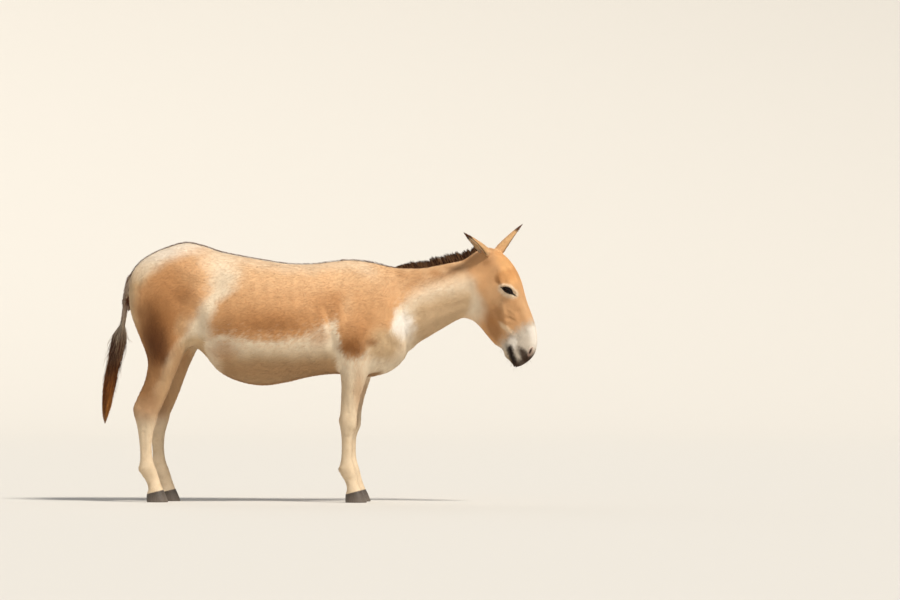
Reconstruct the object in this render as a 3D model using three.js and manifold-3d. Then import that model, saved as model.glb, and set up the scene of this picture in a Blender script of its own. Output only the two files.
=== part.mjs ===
// An onager mare (an Asiatic wild ass) standing at ease, life size, as a museum model.
// Units are millimetres. +X is forwards (nose), +Y is her left side, +Z is up, and the soles are at Z = 0.
//
// The body is one smooth field: a number at every point of space that is negative inside her and zero on
// the outside of her coat. It is a blend of lofts, which are rows of egg-shaped sections along an axis, with
// the muscles and hollows raised on them. Each part is then cast: rays leave the part's own axis and stop
// where the field is zero, so that neighbouring parts lie on one continuous surface, and plane cuts of
// 0.6 mm part them.

import * as THREE from "three";
import { mergeVertices } from "three/addons/utils/BufferGeometryUtils.js";
import Module from "manifold-3d";

const wasm = await Module();
wasm.setup();

// ---------------------------------------------------------------- driving dimensions

const CUT_GAP = 0.6; // width of the cut between two parts of the body
const TOUCH_GAP = 0.4; // clearance of a piece that sits on or in the body
const BLEND = { neck: 70, head: 42, foreleg: 46, hindleg: 60 }; // fillet sizes where limbs join the body
const STANCE = { fore: 104, hind: 108 }; // a hoof's distance from the middle plane
const HIND_LEFT_LEAN = 31; // how far the left hind hoof is set in front of the right one
const HIP_HEIGHT = 1000; // the height from which a hind leg leans
const HEAD_YAW = 7; // degrees that the nose is turned to her right
const EYE_RADIUS = 24;
const LID = 3.4; // thickness of the eyelids
const EAR = { halfWidth: 30, wall: 5, bow: 5 };

// ---------------------------------------------------------------- sections, mm
// Columns: place along the axis, upper and lower reach, half width, how high the widest level lies between
// them (0 to 1), and the roundness of the upper and the lower half (2 is an ellipse, less is a ridge).

const TRUNK = [
  [-965, 1052, 1020, 22, 0.5, 2.0, 2.0], // point of the buttock
  [-952, 1138, 935, 82, 0.5, 2.0, 2.0],
  [-919, 1194, 855, 128, 0.48, 2.0, 2.0], // tail root
  [-863, 1237, 810, 168, 0.45, 1.95, 2.0],
  [-783, 1274, 792, 198, 0.44, 1.85, 2.1],
  [-682, 1301, 785, 212, 0.46, 1.8, 2.1], // croup
  [-601, 1288, 752, 214, 0.48, 1.85, 2.1], // hips
  [-510, 1257, 652, 226, 0.44, 1.95, 2.1], // loin
  [-409, 1235, 601, 250, 0.42, 2.0, 2.1],
  [-288, 1213, 581, 266, 0.42, 2.0, 2.1], // deepest of the belly
  [-167, 1194, 598, 262, 0.43, 1.95, 2.1],
  [-56, 1191, 624, 243, 0.44, 1.85, 2.1],
  [55, 1201, 638, 216, 0.42, 1.65, 2.1], // girth
  [151, 1206, 636, 196, 0.38, 1.5, 2.1], // withers
  [236, 1186, 632, 184, 0.38, 1.55, 2.0],
  [317, 1148, 640, 166, 0.4, 1.7, 2.0],
  [378, 1110, 680, 134, 0.42, 1.9, 2.0], // breast
  [423, 1000, 745, 84, 0.45, 2.0, 2.0],
  [438, 930, 800, 34, 0.5, 2.0, 2.0],
];

const NECK_AXIS = { from: [300, 0, 930], rise: 17.7 };
const NECK = [
  [-90, 290, -250, 140, 0.42, 1.7, 2.0], // between the shoulder blades
  [40, 262, -232, 142, 0.42, 1.65, 2.0],
  [115, 226, -196, 128, 0.42, 1.65, 2.0],
  [190, 197, -177, 112, 0.42, 1.65, 2.0],
  [285, 169, -155, 97, 0.42, 1.65, 2.0],
  [375, 158, -137, 88, 0.42, 1.65, 2.0],
  [460, 148, -134, 81, 0.42, 1.7, 2.0], // throat
  [550, 139, -120, 74, 0.45, 1.8, 2.0],
  [615, 122, -90, 52, 0.5, 2.0, 2.0],
];

const HEAD_AXIS = { from: [830, -8, 1235], dip: 69 };
const HEAD = [
  [-34, 22, -40, 26, 0.5, 2.0, 2.0], // poll
  [-14, 48, -92, 52, 0.62, 2.0, 1.9],
  [30, 84, -140, 70, 0.66, 2.2, 1.8],
  [80, 106, -166, 80, 0.7, 2.4, 1.7],
  [130, 116, -180, 88, 0.74, 2.7, 1.6],
  [180, 118, -190, 94, 0.75, 2.9, 1.55], // eyes
  [222, 115, -198, 91, 0.72, 2.9, 1.6],
  [258, 112, -193, 84, 0.68, 2.8, 1.7], // jowl
  [290, 110, -174, 76, 0.64, 2.7, 1.8],
  [330, 110, -155, 67, 0.6, 2.6, 1.9],
  [380, 110, -138, 58, 0.58, 2.5, 2.0],
  [430, 107, -119, 51, 0.56, 2.4, 2.0], // above the nostrils
  [462, 101, -97, 49, 0.54, 2.3, 2.1],
  [486, 93, -88, 50, 0.52, 2.2, 2.2], // chin groove
  [512, 81, -85, 50, 0.52, 2.2, 2.3], // nostrils
  [538, 63, -76, 46, 0.5, 2.3, 2.3],
  [560, 38, -69, 37, 0.46, 2.3, 2.2],
  [574, 6, -63, 24, 0.42, 2.1, 2.1],
  [581, -22, -50, 9, 0.45, 2.0, 2.0], // lips
];

// For a leg the upper and lower reach are its front and its back, and one more column says how much further
// out or in than the hoof its middle lies.
const FORELEG = [
  [0, 244, 136, 46, 0.5, 2.0, 2.6, 0], // sole
  [18, 237, 135, 45, 0.5, 2.0, 2.5, 0],
  [42, 227, 137, 42, 0.5, 2.0, 2.4, 0],
  [64, 216, 142, 37, 0.5, 2.0, 2.3, 0], // coronet
  [86, 207, 140, 31, 0.5, 2.0, 2.2, 0],
  [112, 198, 129, 28, 0.5, 2.1, 2.1, 0], // pastern
  [140, 191, 112, 32, 0.52, 2.2, 2.1, 0],
  [166, 184, 104, 35, 0.54, 2.3, 2.1, 0], // fetlock
  [192, 176, 109, 32, 0.54, 2.2, 2.0, 0],
  [222, 170, 114, 27, 0.56, 2.1, 2.0, 0],
  [272, 168, 116, 25, 0.58, 2.1, 2.0, 0], // cannon
  [322, 171, 115, 27, 0.58, 2.1, 2.0, 0],
  [350, 179, 112, 33, 0.56, 2.4, 2.1, 0],
  [378, 190, 109, 39, 0.55, 2.8, 2.2, 0], // knee
  [408, 194, 107, 41, 0.55, 2.8, 2.2, 0],
  [438, 195, 109, 39, 0.55, 2.6, 2.2, 1],
  [475, 200, 111, 38, 0.52, 2.3, 2.1, 2],
  [525, 212, 113, 42, 0.5, 2.1, 2.1, 4],
  [580, 230, 114, 50, 0.48, 2.0, 2.1, 7], // forearm
  [640, 250, 109, 60, 0.45, 2.0, 2.1, 10],
  [700, 269, 103, 70, 0.45, 2.0, 2.1, 14], // elbow
  [770, 286, 101, 76, 0.45, 2.0, 2.1, 20],
  [850, 306, 111, 70, 0.45, 2.0, 2.0, 26],
];

const HINDLEG = [
  [0, -752, -860, 44, 0.5, 2.0, 2.6, 0], // sole
  [18, -759, -862, 43, 0.5, 2.0, 2.5, 0],
  [42, -769, -860, 40, 0.5, 2.0, 2.4, 0],
  [64, -779, -854, 36, 0.5, 2.0, 2.3, 0], // coronet
  [86, -788, -858, 31, 0.5, 2.0, 2.2, 0],
  [112, -797, -870, 28, 0.5, 2.1, 2.1, 0], // pastern
  [140, -806, -889, 32, 0.52, 2.2, 2.1, 0],
  [166, -815, -900, 35, 0.54, 2.3, 2.1, 0], // fetlock
  [192, -825, -898, 32, 0.54, 2.2, 2.0, 0],
  [222, -832, -895, 27, 0.56, 2.1, 2.0, 0],
  [272, -836, -897, 25, 0.58, 2.1, 2.0, 0], // cannon
  [330, -832, -903, 27, 0.58, 2.1, 2.0, 0],
  [372, -822, -910, 32, 0.58, 2.2, 2.0, 0],
  [408, -811, -919, 38, 0.6, 2.4, 1.9, 0], // hock
  [440, -803, -928, 40, 0.64, 2.5, 1.7, 0],
  [470, -789, -932, 38, 0.68, 2.4, 1.5, 0], // point of the hock
  [500, -775, -922, 37, 0.68, 2.2, 1.5, 0],
  [550, -752, -899, 40, 0.62, 2.1, 1.6, 1],
  [605, -731, -874, 47, 0.56, 2.0, 1.8, 3], // gaskin
  [660, -708, -861, 57, 0.52, 2.0, 2.0, 6],
  [705, -687, -858, 66, 0.5, 2.0, 2.1, 8],
  [760, -658, -872, 76, 0.5, 2.0, 2.1, 10],
  [820, -622, -896, 84, 0.5, 2.0, 2.1, 11], // stifle
  [890, -610, -920, 90, 0.5, 2.0, 2.1, 10],
  [980, -638, -933, 88, 0.5, 2.0, 2.0, 6],
  [1060, -688, -923, 70, 0.5, 2.0, 2.0, 0], // thigh, under the rump
];

// The tail: height, middle, half depth, half width. The dock is its fleshy part and the tuft its long hair.
const DOCK = [
  [842, -1008, 9, 10],
  [895, -999, 13, 13],
  [945, -993, 15, 15],
  [1020, -982, 17, 18],
  [1085, -966, 22, 22],
  [1135, -940, 34, 27],
  [1172, -905, 40, 30],
];
const TUFT = [
  [388, -1090, 3, 3],
  [435, -1088, 13, 11],
  [480, -1083, 20, 17],
  [565, -1070, 25, 22],
  [630, -1058, 28, 24],
  [695, -1044, 30, 26],
  [755, -1031, 35, 28],
  [800, -1022, 37, 29],
  [845, -1014, 32, 26],
  [888, -1003, 18, 17],
];

// The mane: the height of its hair at a share of its length from the withers to between the ears.
const MANE_SPAN = [152, 572];
const MANE_HALF_WIDTH = 11;
const MANE_HEIGHT = [
  [0, 4],
  [0.06, 16],
  [0.2, 36],
  [0.5, 48],
  [0.78, 47],
  [1, 26],
];

// ---------------------------------------------------------------- muscles, bones and hollows
// A mark raises the surface by rise, or sinks it where rise is negative, round a point (size is its spread
// along the loft's own three axes) or along a line (width is its spread). Places are along, up and outwards.

const swell = (at, size, rise) => ({ at, size, rise });
const ridge = (from, to, width, rise) => ({ from, to, width, rise });

const TRUNK_MARKS = [
  swell([-603, 1135, 185], [42, 40, 60], 13), // point of the hip
  swell([-505, 1065, 215], [75, 62, 80], -17), // hollow of the flank
  swell([-745, 1190, 130], [115, 70, 80], 8), // gluteal muscle
  swell([-815, 1035, 195], [60, 60, 60], 6), // hip joint
  swell([-900, 985, 120], [60, 120, 70], 7), // hamstrings
  ridge([-905, 1130, 140], [-868, 830, 165], 20, -7), // groove behind the hamstrings
  ridge([-940, 1080, 0], [-890, 800, 0], 26, -26), // cleft of the buttocks
  swell([-640, 850, 175], [55, 60, 60], 9), // stifle
  ridge([-625, 835, 160], [-470, 740, 190], 34, 9), // flank fold
  ridge([-600, 960, 215], [-560, 830, 200], 26, -7), // edge of the thigh
  ridge([185, 1150, 60], [330, 900, 165], 26, 7), // spine of the shoulder blade
  ridge([90, 1120, 110], [140, 930, 190], 30, -6), // hollow behind the shoulder blade
  swell([180, 830, 180], [80, 85, 60], 12), // triceps
  ridge([52, 960, 205], [92, 730, 190], 24, -9), // back edge of the triceps
  swell([372, 850, 130], [42, 48, 60], 13), // point of the shoulder
  ridge([300, 960, 150], [352, 800, 150], 22, -5), // groove before the triceps
  swell([105, 712, 150], [24, 28, 34], 9), // elbow
  swell([390, 735, 55], [50, 60, 40], 9), // breast muscles
  ridge([445, 830, 0], [300, 636, 0], 22, -9), // groove between the breast muscles
  swell([30, 690, 150], [45, 50, 60], -7), // hollow behind the elbow
  ridge([-40, 1150, 150], [20, 760, 250], 200, 3), // spring of the ribs
];

const NECK_MARKS = [
  ridge([120, -60, 130], [430, -75, 80], 20, -6), // jugular groove
  ridge([60, 40, 150], [520, 20, 80], 34, 6), // muscle from the shoulder to the skull
  ridge([60, 185, 60], [500, 110, 50], 24, -4), // hollow below the crest
  swell([508, 30, 76], [28, 42, 24], 7), // wing of the first neck bone
];

const HEAD_MARKS = [
  swell([188, 76, 82], [34, 20, 22], 11), // brow over the eye
  swell([216, 56, 86], [26, 22, 18], 7), // eyelids
  ridge([110, 52, 78], [176, 40, 96], 15, 7), // cheek bone, back to the ear
  swell([118, 82, 66], [24, 16, 18], -8), // hollow of the temple
  swell([170, -92, 66], [72, 62, 34], 9), // cheek muscle
  ridge([262, 4, 84], [352, -14, 62], 12, 8), // crest of the cheek
  ridge([236, 20, 92], [258, -40, 86], 14, -5), // hollow under the eye
  ridge([300, -52, 70], [410, -66, 52], 20, -6), // hollow before the jaw
  ridge([330, 62, 60], [440, 58, 50], 17, -5), // side of the nose bone
  swell([520, 44, 42], [34, 26, 20], 8), // wing of the nostril
  swell([540, -22, 36], [26, 24, 20], 5), // upper lip
  swell([508, -84, 0], [20, 14, 26], 5), // chin
  swell([-2, 34, 44], [34, 36, 26], 13), // root of the ear
];

const FORELEG_MARKS = [
  ridge([240, 128, 28], [335, 127, 30], 7, -4), // between the bone and the tendons
  swell([408, 104, 0], [26, 14, 16], 5), // bone at the back of the knee
  swell([408, 186, 0], [34, 16, 30], -2),
  swell([166, 98, 0], [20, 14, 22], 4), // ergot
  ridge([470, 150, 46], [640, 160, 66], 16, 3), // muscle of the forearm
];

const HINDLEG_MARKS = [
  ridge([240, -872, 28], [350, -872, 30], 7, -4), // between the bone and the tendons
  ridge([480, -893, 30], [600, -850, 46], 12, -8), // hollow before the Achilles tendon
  ridge([480, -893, -30], [600, -850, -46], 12, -8),
  swell([438, -850, 38], [20, 18, 14], 3), // ankle bone
  swell([166, -902, 0], [20, 14, 22], 4), // ergot
  ridge([640, -770, 60], [800, -700, 90], 26, 4), // muscle of the gaskin
];

// ---------------------------------------------------------------- the field

const radians = THREE.MathUtils.degToRad;
const dot = (a, b) => a[0] * b[0] + a[1] * b[1] + a[2] * b[2];
const minus = (a, b) => [a[0] - b[0], a[1] - b[1], a[2] - b[2]];
const plus = (a, b, share = 1) => [a[0] + b[0] * share, a[1] + b[1] * share, a[2] + b[2] * share];

// The smaller of two distances, rounded off where they are within k of each other.
function blended(a, b, k) {
  const h = Math.max(k - Math.abs(a - b), 0) / k;
  return Math.min(a, b) - (h * h * k) / 4;
}

// Every column of a table at a place along it: cubic curves whose slopes are those of the neighbours.
function columnsAt(table, at) {
  const last = table.length - 1;
  const x = THREE.MathUtils.clamp(at, table[0][0], table[last][0]);
  let i = 0;
  while (i < last - 1 && x > table[i + 1][0]) i++;
  const [a, b] = [table[i], table[i + 1]];
  const [before, after] = [table[Math.max(i - 1, 0)], table[Math.min(i + 2, last)]];
  const width = b[0] - a[0];
  const t = (x - a[0]) / width;
  const [t2, t3] = [t * t, t * t * t];
  return a.map((value, c) => {
    const slopeA = ((b[c] - before[c]) / (b[0] - before[0])) * width;
    const slopeB = ((after[c] - value) / (after[0] - a[0])) * width;
    return (
      (2 * t3 - 3 * t2 + 1) * value + (t3 - 2 * t2 + t) * slopeA + (3 * t2 - 2 * t3) * b[c] + (t3 - t2) * slopeB
    );
  });
}

// How much the marks raise the surface at a place in the loft's own frame.
function relief(marks, place) {
  let sum = 0;
  for (const m of marks) {
    let spread;
    if (m.at) {
      spread = m.at.reduce((s, c, k) => s + ((place[k] - c) / m.size[k]) ** 2, 0);
    } else {
      const line = minus(m.to, m.from);
      const t = THREE.MathUtils.clamp(dot(minus(place, m.from), line) / dot(line, line), 0, 1);
      const off = minus(place, plus(m.from, line, t));
      spread = dot(off, off) / m.width ** 2;
    }
    if (spread < 9) sum += m.rise * Math.exp(-spread);
  }
  return sum;
}

// A loft: sections along an axis, with marks. lean slides a section along the up direction.
function loft({ from, along, up, out, table, marks, mirrored = false, lean = () => 0 }) {
  const local = (p) => {
    const d = minus(p, from);
    const s = dot(d, along);
    return [s, dot(d, up) - lean(s), dot(d, out)];
  };
  const distance = (p) => {
    const [s, v, outwards] = local(p);
    const [, top, bottom, half, wide, upper, lower, shift = 0] = columnsAt(table, s);
    const w = outwards - shift;
    const middle = bottom + wide * (top - bottom);
    const [reach, power] = v > middle ? [top - middle, upper] : [middle - bottom, lower];
    const share = (Math.abs(w / half) ** power + Math.abs((v - middle) / reach) ** power) ** (1 / power);
    const size = share > 1e-3 ? Math.hypot(w, v - middle) / share : Math.min(half, reach);
    const beyond = Math.max(table[0][0] - s, s - table[table.length - 1][0], 0);
    const inSection = size * (share - 1) - relief(marks, [s, v, mirrored ? Math.abs(w) : outwards]);
    return beyond > 0 ? Math.hypot(Math.max(inSection, 0), beyond) : inSection;
  };
  const middle = (s) => {
    const [, top, bottom, , wide, , , shift = 0] = columnsAt(table, s);
    const v = bottom + wide * (top - bottom) + lean(s);
    return plus(plus(plus(from, along, s), up, v), out, shift);
  };
  return { distance, middle, along, up, out, table };
}

const neckTurn = radians(NECK_AXIS.rise);
const headDip = radians(HEAD_AXIS.dip);
const headYaw = radians(HEAD_YAW);
const yawed = ([x, y, z]) => [
  x * Math.cos(headYaw) + y * Math.sin(headYaw),
  y * Math.cos(headYaw) - x * Math.sin(headYaw),
  z,
];

const trunk = loft({
  from: [0, 0, 0],
  along: [1, 0, 0],
  up: [0, 0, 1],
  out: [0, 1, 0],
  table: TRUNK,
  marks: TRUNK_MARKS,
  mirrored: true,
});
const neck = loft({
  from: NECK_AXIS.from,
  along: [Math.cos(neckTurn), 0, Math.sin(neckTurn)],
  up: [-Math.sin(neckTurn), 0, Math.cos(neckTurn)],
  out: [0, 1, 0],
  table: NECK,
  marks: NECK_MARKS,
  mirrored: true,
});
const head = loft({
  from: HEAD_AXIS.from,
  along: yawed([Math.cos(headDip), 0, -Math.sin(headDip)]),
  up: yawed([Math.sin(headDip), 0, Math.cos(headDip)]),
  out: yawed([0, 1, 0]),
  table: HEAD,
  marks: HEAD_MARKS,
  mirrored: true,
});

// side is 1 for her left and -1 for her right.
function leg(table, marks, side, stance, lean) {
  return loft({
    from: [0, side * stance, 0],
    along: [0, 0, 1],
    up: [1, 0, 0],
    out: [0, side, 0],
    table,
    marks,
    lean: (z) => lean * Math.max(1 - (z / HIP_HEIGHT) ** 3, 0),
  });
}

const SIDES = { right: -1, left: 1 };
const forelegs = {};
const hindlegs = {};
for (const [name, side] of Object.entries(SIDES)) {
  forelegs[name] = leg(FORELEG, FORELEG_MARKS, side, STANCE.fore, 0);
  hindlegs[name] = leg(HINDLEG, HINDLEG_MARKS, side, STANCE.hind, side > 0 ? HIND_LEFT_LEAN : 0);
}

// The whole body. Each limb is blended in with its own fillet.
function body(p) {
  let f = blended(trunk.distance(p), neck.distance(p), BLEND.neck);
  f = blended(f, head.distance(p), BLEND.head);
  for (const limb of Object.values(forelegs)) f = blended(f, limb.distance(p), BLEND.foreleg);
  for (const limb of Object.values(hindlegs)) f = blended(f, limb.distance(p), BLEND.hindleg);
  return f;
}

// ---------------------------------------------------------------- from field to solid

// A closed mesh from rows of points. A row with one point is a pole, and otherwise all have the same count.
// Rows run so that, seen from outside, the columns turn to the left of the way the rows run.
function closedMesh(rows) {
  const points = rows.flat();
  const starts = [];
  rows.reduce((sum, row) => (starts.push(sum), sum + row.length), 0);
  const faces = [];
  for (let i = 0; i + 1 < rows.length; i++) {
    const [a, b] = [rows[i], rows[i + 1]];
    const count = Math.max(a.length, b.length);
    for (let j = 0; j < count; j++) {
      const k = (j + 1) % count;
      const at = (row, start, n) => start + (row.length === 1 ? 0 : n);
      const [a0, a1] = [at(a, starts[i], j), at(a, starts[i], k)];
      const [b0, b1] = [at(b, starts[i + 1], j), at(b, starts[i + 1], k)];
      if (a0 !== a1) faces.push(a0, a1, b1);
      if (b0 !== b1) faces.push(a0, b1, b0);
    }
  }
  return { points, faces };
}

function solidOf({ points, faces }) {
  const made = new wasm.Manifold(
    new wasm.Mesh({
      numProp: 3,
      vertProperties: new Float32Array(points.flat()),
      triVerts: new Uint32Array(faces),
    }),
  );
  if (made.volume() > 0) return made;
  return solidOf({ points, faces: faces.reverse() });
}

// A three.js geometry as a solid.
function solidFrom(geometry, matrix = new THREE.Matrix4()) {
  const bare = new THREE.BufferGeometry().setIndex(geometry.index);
  bare.setAttribute("position", geometry.getAttribute("position").clone());
  const merged = mergeVertices(bare.applyMatrix4(matrix), 1e-3);
  const numbers = merged.attributes.position.array;
  const points = [];
  for (let i = 0; i < numbers.length; i += 3) points.push([...numbers.subarray(i, i + 3)]);
  return solidOf({ points, faces: [...merged.index.array] });
}

const RAY_STEP = 12;
const HALVINGS = 12;

// The first point on a ray where the field is zero, and grow further out.
function hit(field, origin, direction, grow) {
  let far = RAY_STEP;
  while (field(plus(origin, direction, far)) < 0) far += RAY_STEP;
  let near = far - RAY_STEP;
  for (let n = 0; n < HALVINGS; n++) {
    const half = (near + far) / 2;
    if (field(plus(origin, direction, half)) < 0) near = half;
    else far = half;
  }
  return plus(origin, direction, near + grow);
}

// Casts a part. Rays leave its middle line at each place. An end is flat, or a fan of rays where it is open air.
// margin is how far past its own loft the part may follow the blended body.
function cast(part, places, columns, { fanStart = 0, fanEnd = 0, margin = 45, grow = 0, mid } = {}) {
  const field = (p) => Math.max(body(p), part.distance(p) - margin);
  const middle = mid ?? part.middle;
  const ray = (origin, turn, tilt) => {
    const around = plus([0, 0, 0], part.out, Math.cos(turn) * Math.cos(tilt));
    return hit(field, origin, plus(plus(around, part.up, Math.sin(turn) * Math.cos(tilt)), part.along, Math.sin(tilt)), grow);
  };
  const ring = (place, tilt) => {
    const origin = middle(place);
    return Array.from({ length: columns }, (_, j) => ray(origin, (2 * Math.PI * j) / columns, tilt));
  };
  const rows = [];
  const [first, last] = [places[0], places[places.length - 1]];
  const pole = (place, sign, fan) =>
    fan ? [ray(middle(place), 0, (sign * Math.PI) / 2)] : [plus(middle(place), part.along, 0)];
  rows.push(pole(first, -1, fanStart));
  for (let k = fanStart - 1; k > 0; k--) rows.push(ring(first, (-k / fanStart) * (Math.PI / 2)));
  for (const place of places) rows.push(ring(place, 0));
  for (let k = 1; k < fanEnd; k++) rows.push(ring(last, (k / fanEnd) * (Math.PI / 2)));
  rows.push(pole(last, 1, fanEnd));
  return solidOf(closedMesh(rows));
}

const evenly = (from, to, count) => Array.from({ length: count }, (_, i) => from + ((to - from) * i) / (count - 1));

// ---------------------------------------------------------------- the cuts

const REACH = 4000; // larger than the animal, for a cutting block

// All of space on the side of a plane that the normal points to. across is a level direction in the plane.
function beyondPlane(point, normal) {
  const block = new THREE.BoxGeometry(REACH, REACH, REACH);
  const turn = new THREE.Quaternion().setFromUnitVectors(
    new THREE.Vector3(0, 0, 1),
    new THREE.Vector3(...normal).normalize(),
  );
  const unit = new THREE.Vector3(...normal).normalize().toArray();
  const centre = plus(point, unit, REACH / 2);
  const matrix = new THREE.Matrix4().compose(
    new THREE.Vector3(...centre),
    turn,
    new THREE.Vector3(1, 1, 1),
  );
  return solidFrom(block, matrix);
}

function blockBetween(low, high) {
  const size = minus(high, low);
  const centre = new THREE.Matrix4().makeTranslation(...plus(low, size, 0.5));
  return solidFrom(new THREE.BoxGeometry(...size), centre);
}

// The two sides of a cut, each half the gap away from it.
function cutAt(point, normal) {
  const unit = new THREE.Vector3(...normal).normalize().toArray();
  const away = unit.map((n) => -n);
  return {
    front: beyondPlane(plus(point, unit, CUT_GAP / 2), unit),
    behind: beyondPlane(plus(point, away, CUT_GAP / 2), away),
  };
}

// Planes: where the neck leaves the shoulders, where the head leaves the neck, and under the rump.
const shoulderCut = cutAt([332, 0, 1185], [0.967, 0, 0.253]);
const THROAT = { at: [788, 0, 1245], normal: [0.981, 0, -0.195], band: 15 };
const throatCut = cutAt(THROAT.at, THROAT.normal);
const RUMP = { front: -600, height: 776, normal: [0.336, 0, 0.942] };
const ELBOW = { low: [55, 46, -10], high: [300, 300, 656] };
const KNEE_HEIGHT = 352;
const HOCK_HEIGHT = 408;

// The room that belongs to a foreleg below the elbow, and to a hind leg below the rump, on one side of her.
// inset draws its walls inwards.
function elbowRoom(side, inset) {
  const low = plus(ELBOW.low, [inset, inset, 0]);
  const high = plus(ELBOW.high, [-inset, 0, -inset]);
  return side > 0 ? blockBetween(low, high) : blockBetween([low[0], -high[1], low[2]], [high[0], -low[1], high[2]]);
}

function rumpRoom(side, inset) {
  const front = RUMP.front - inset;
  const low = [-REACH / 4, side > 0 ? inset : -REACH / 4, -REACH / 4];
  const high = [front, side > 0 ? REACH / 4 : -inset, REACH / 4];
  const under = beyondPlane(plus([RUMP.front, 0, RUMP.height], RUMP.normal, -inset), RUMP.normal.map((n) => -n));
  return blockBetween(low, high).intersect(under);
}

// The coronet: where hair gives way to hoof. It slopes down to the heel.
const coronetCut = (toe) => cutAt([toe, 0, 62], [-0.25, 0, 0.968]);
const FORE_TOE = 218;
const HIND_TOE = -776;

// ---------------------------------------------------------------- the body's parts

const parts = {};

function castTrunk(grow) {
  const axis = (x) => [x, 0, THREE.MathUtils.clamp(trunk.middle(x)[2], 860, 1010)];
  return cast(trunk, evenly(-912, 390, 25), 24, { fanStart: 6, fanEnd: 3, mid: axis, grow });
}

function buildTrunk(whole) {
  let shape = whole.intersect(shoulderCut.behind);
  for (const side of Object.values(SIDES)) {
    shape = shape.subtract(elbowRoom(side, -CUT_GAP / 2)).subtract(rumpRoom(side, -CUT_GAP / 2));
  }
  parts.trunk = shape;
}

const castNeck = (grow) => cast(neck, evenly(20, 600, 12), 20, { margin: 60, grow });
const castHead = (grow) =>
  cast(head, [...evenly(0, 440, 13), ...evenly(462, 545, 5)], 20, { fanStart: 4, fanEnd: 4, margin: 45, grow });

function buildNeckAndHead() {
  // Near the cut both casts are joined, so that the jowl runs over it without a step.
  const { at, normal, band } = THROAT;
  const neckSide = castNeck(0).intersect(cutAt(plus(at, normal, band), normal).behind);
  const headSide = castHead(0).intersect(cutAt(plus(at, normal, -band), normal).front);
  const both = neckSide.add(headSide);
  parts.neck = both.intersect(shoulderCut.front).intersect(throatCut.behind);
  parts.head = both.intersect(throatCut.front);
}

function buildLegs(whole) {
  for (const [name, side] of Object.entries(SIDES)) {
    const fore = cast(forelegs[name], [...evenly(0, 232, 10), ...evenly(262, 700, 11)], 12, { margin: 30 });
    const knee = cutAt([0, 0, KNEE_HEIGHT], [0, 0, 1]);
    const foreCoronet = coronetCut(FORE_TOE);
    const elbow = elbowRoom(side, CUT_GAP / 2);
    parts[`forearm_${name}`] = fore.add(whole.intersect(elbow)).intersect(elbow).intersect(knee.front);
    parts[`fore_cannon_${name}`] = fore.intersect(knee.behind).intersect(foreCoronet.front);
    parts[`fore_hoof_${name}`] = fore.intersect(foreCoronet.behind);

    const lean = side > 0 ? HIND_LEFT_LEAN : 0;
    const hind = cast(hindlegs[name], [...evenly(0, 232, 10), ...evenly(262, 960, 17)], 12, { margin: 40 });
    const hock = cutAt([0, 0, HOCK_HEIGHT], [0, 0, 1]);
    const hindCoronet = coronetCut(HIND_TOE + lean);
    const rump = rumpRoom(side, CUT_GAP / 2);
    parts[`thigh_${name}`] = hind.add(whole.intersect(rump)).intersect(rump).intersect(hock.front);
    parts[`hind_cannon_${name}`] = hind.intersect(hock.behind).intersect(hindCoronet.front);
    parts[`hind_hoof_${name}`] = hind.intersect(hindCoronet.behind);
  }
}

// ---------------------------------------------------------------- eyes, ears, mane and tail

const fromHead = (u, v, w) => plus(plus(plus(HEAD_AXIS.from, head.along, u), head.up, v), head.out, w);
const EYE_AT = { u: 216, v: 56, w: 75 };
const SLIT = { length: 50, height: 22, slope: 32 }; // the opening between the lids, and its slope in degrees
const NOSTRIL = { u: 533, v: 47, w: 38, long: 24, wide: 8, deep: 20, turn: -42 };
const MOUTH = { from: [478, -44], to: [586, -64], out: 44, depth: 30, thick: 3 };

// A ball stretched to three half sizes (along, across and into the head), standing in the head's own frame.
// turn is its slope on the side of the head, in degrees.
function headLens(at, sizes, turn) {
  const [c, s] = [Math.cos(radians(turn)), Math.sin(radians(turn))];
  const none = [0, 0, 0];
  const axes = [
    plus(plus(none, head.along, sizes[0] * c), head.up, sizes[0] * s),
    plus(plus(none, head.along, -sizes[1] * s), head.up, sizes[1] * c),
    plus(none, head.out, sizes[2]),
  ];
  const placed = new THREE.Matrix4().makeBasis(...axes.map((v) => new THREE.Vector3(...v)));
  placed.setPosition(...fromHead(...at));
  return solidFrom(new THREE.SphereGeometry(1, 10, 6), placed);
}

function buildFace() {
  const [u0, v0] = MOUTH.from;
  const [u1, v1] = MOUTH.to;
  const mouthTurn = THREE.MathUtils.radToDeg(Math.atan2(v1 - v0, u1 - u0));
  const mouthHalf = Math.hypot(u1 - u0, v1 - v0) / 2;
  for (const [name, side] of Object.entries(SIDES)) {
    const placed = new THREE.Matrix4().makeTranslation(...fromHead(EYE_AT.u, EYE_AT.v, side * EYE_AT.w));
    const ball = (radius, columns, rows) => solidFrom(new THREE.SphereGeometry(radius, columns, rows), placed);
    parts[`eye_${name}`] = ball(EYE_RADIUS, 12, 8);
    const slitAt = [EYE_AT.u, EYE_AT.v - 2, side * (EYE_AT.w + EYE_RADIUS)];
    const nostrilAt = [NOSTRIL.u, NOSTRIL.v, side * NOSTRIL.w];
    const mouthAt = [(u0 + u1) / 2, (v0 + v1) / 2, side * MOUTH.out];
    parts.head = parts.head
      .add(ball(EYE_RADIUS + LID, 12, 8))
      .subtract(ball(EYE_RADIUS + 2 * TOUCH_GAP, 12, 8))
      .subtract(headLens(slitAt, [SLIT.length / 2, SLIT.height / 2, 16], SLIT.slope))
      .subtract(headLens(nostrilAt, [NOSTRIL.long, NOSTRIL.wide, NOSTRIL.deep], NOSTRIL.turn))
      .subtract(headLens(mouthAt, [mouthHalf, MOUTH.thick, MOUTH.depth], mouthTurn));
  }
}

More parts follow.
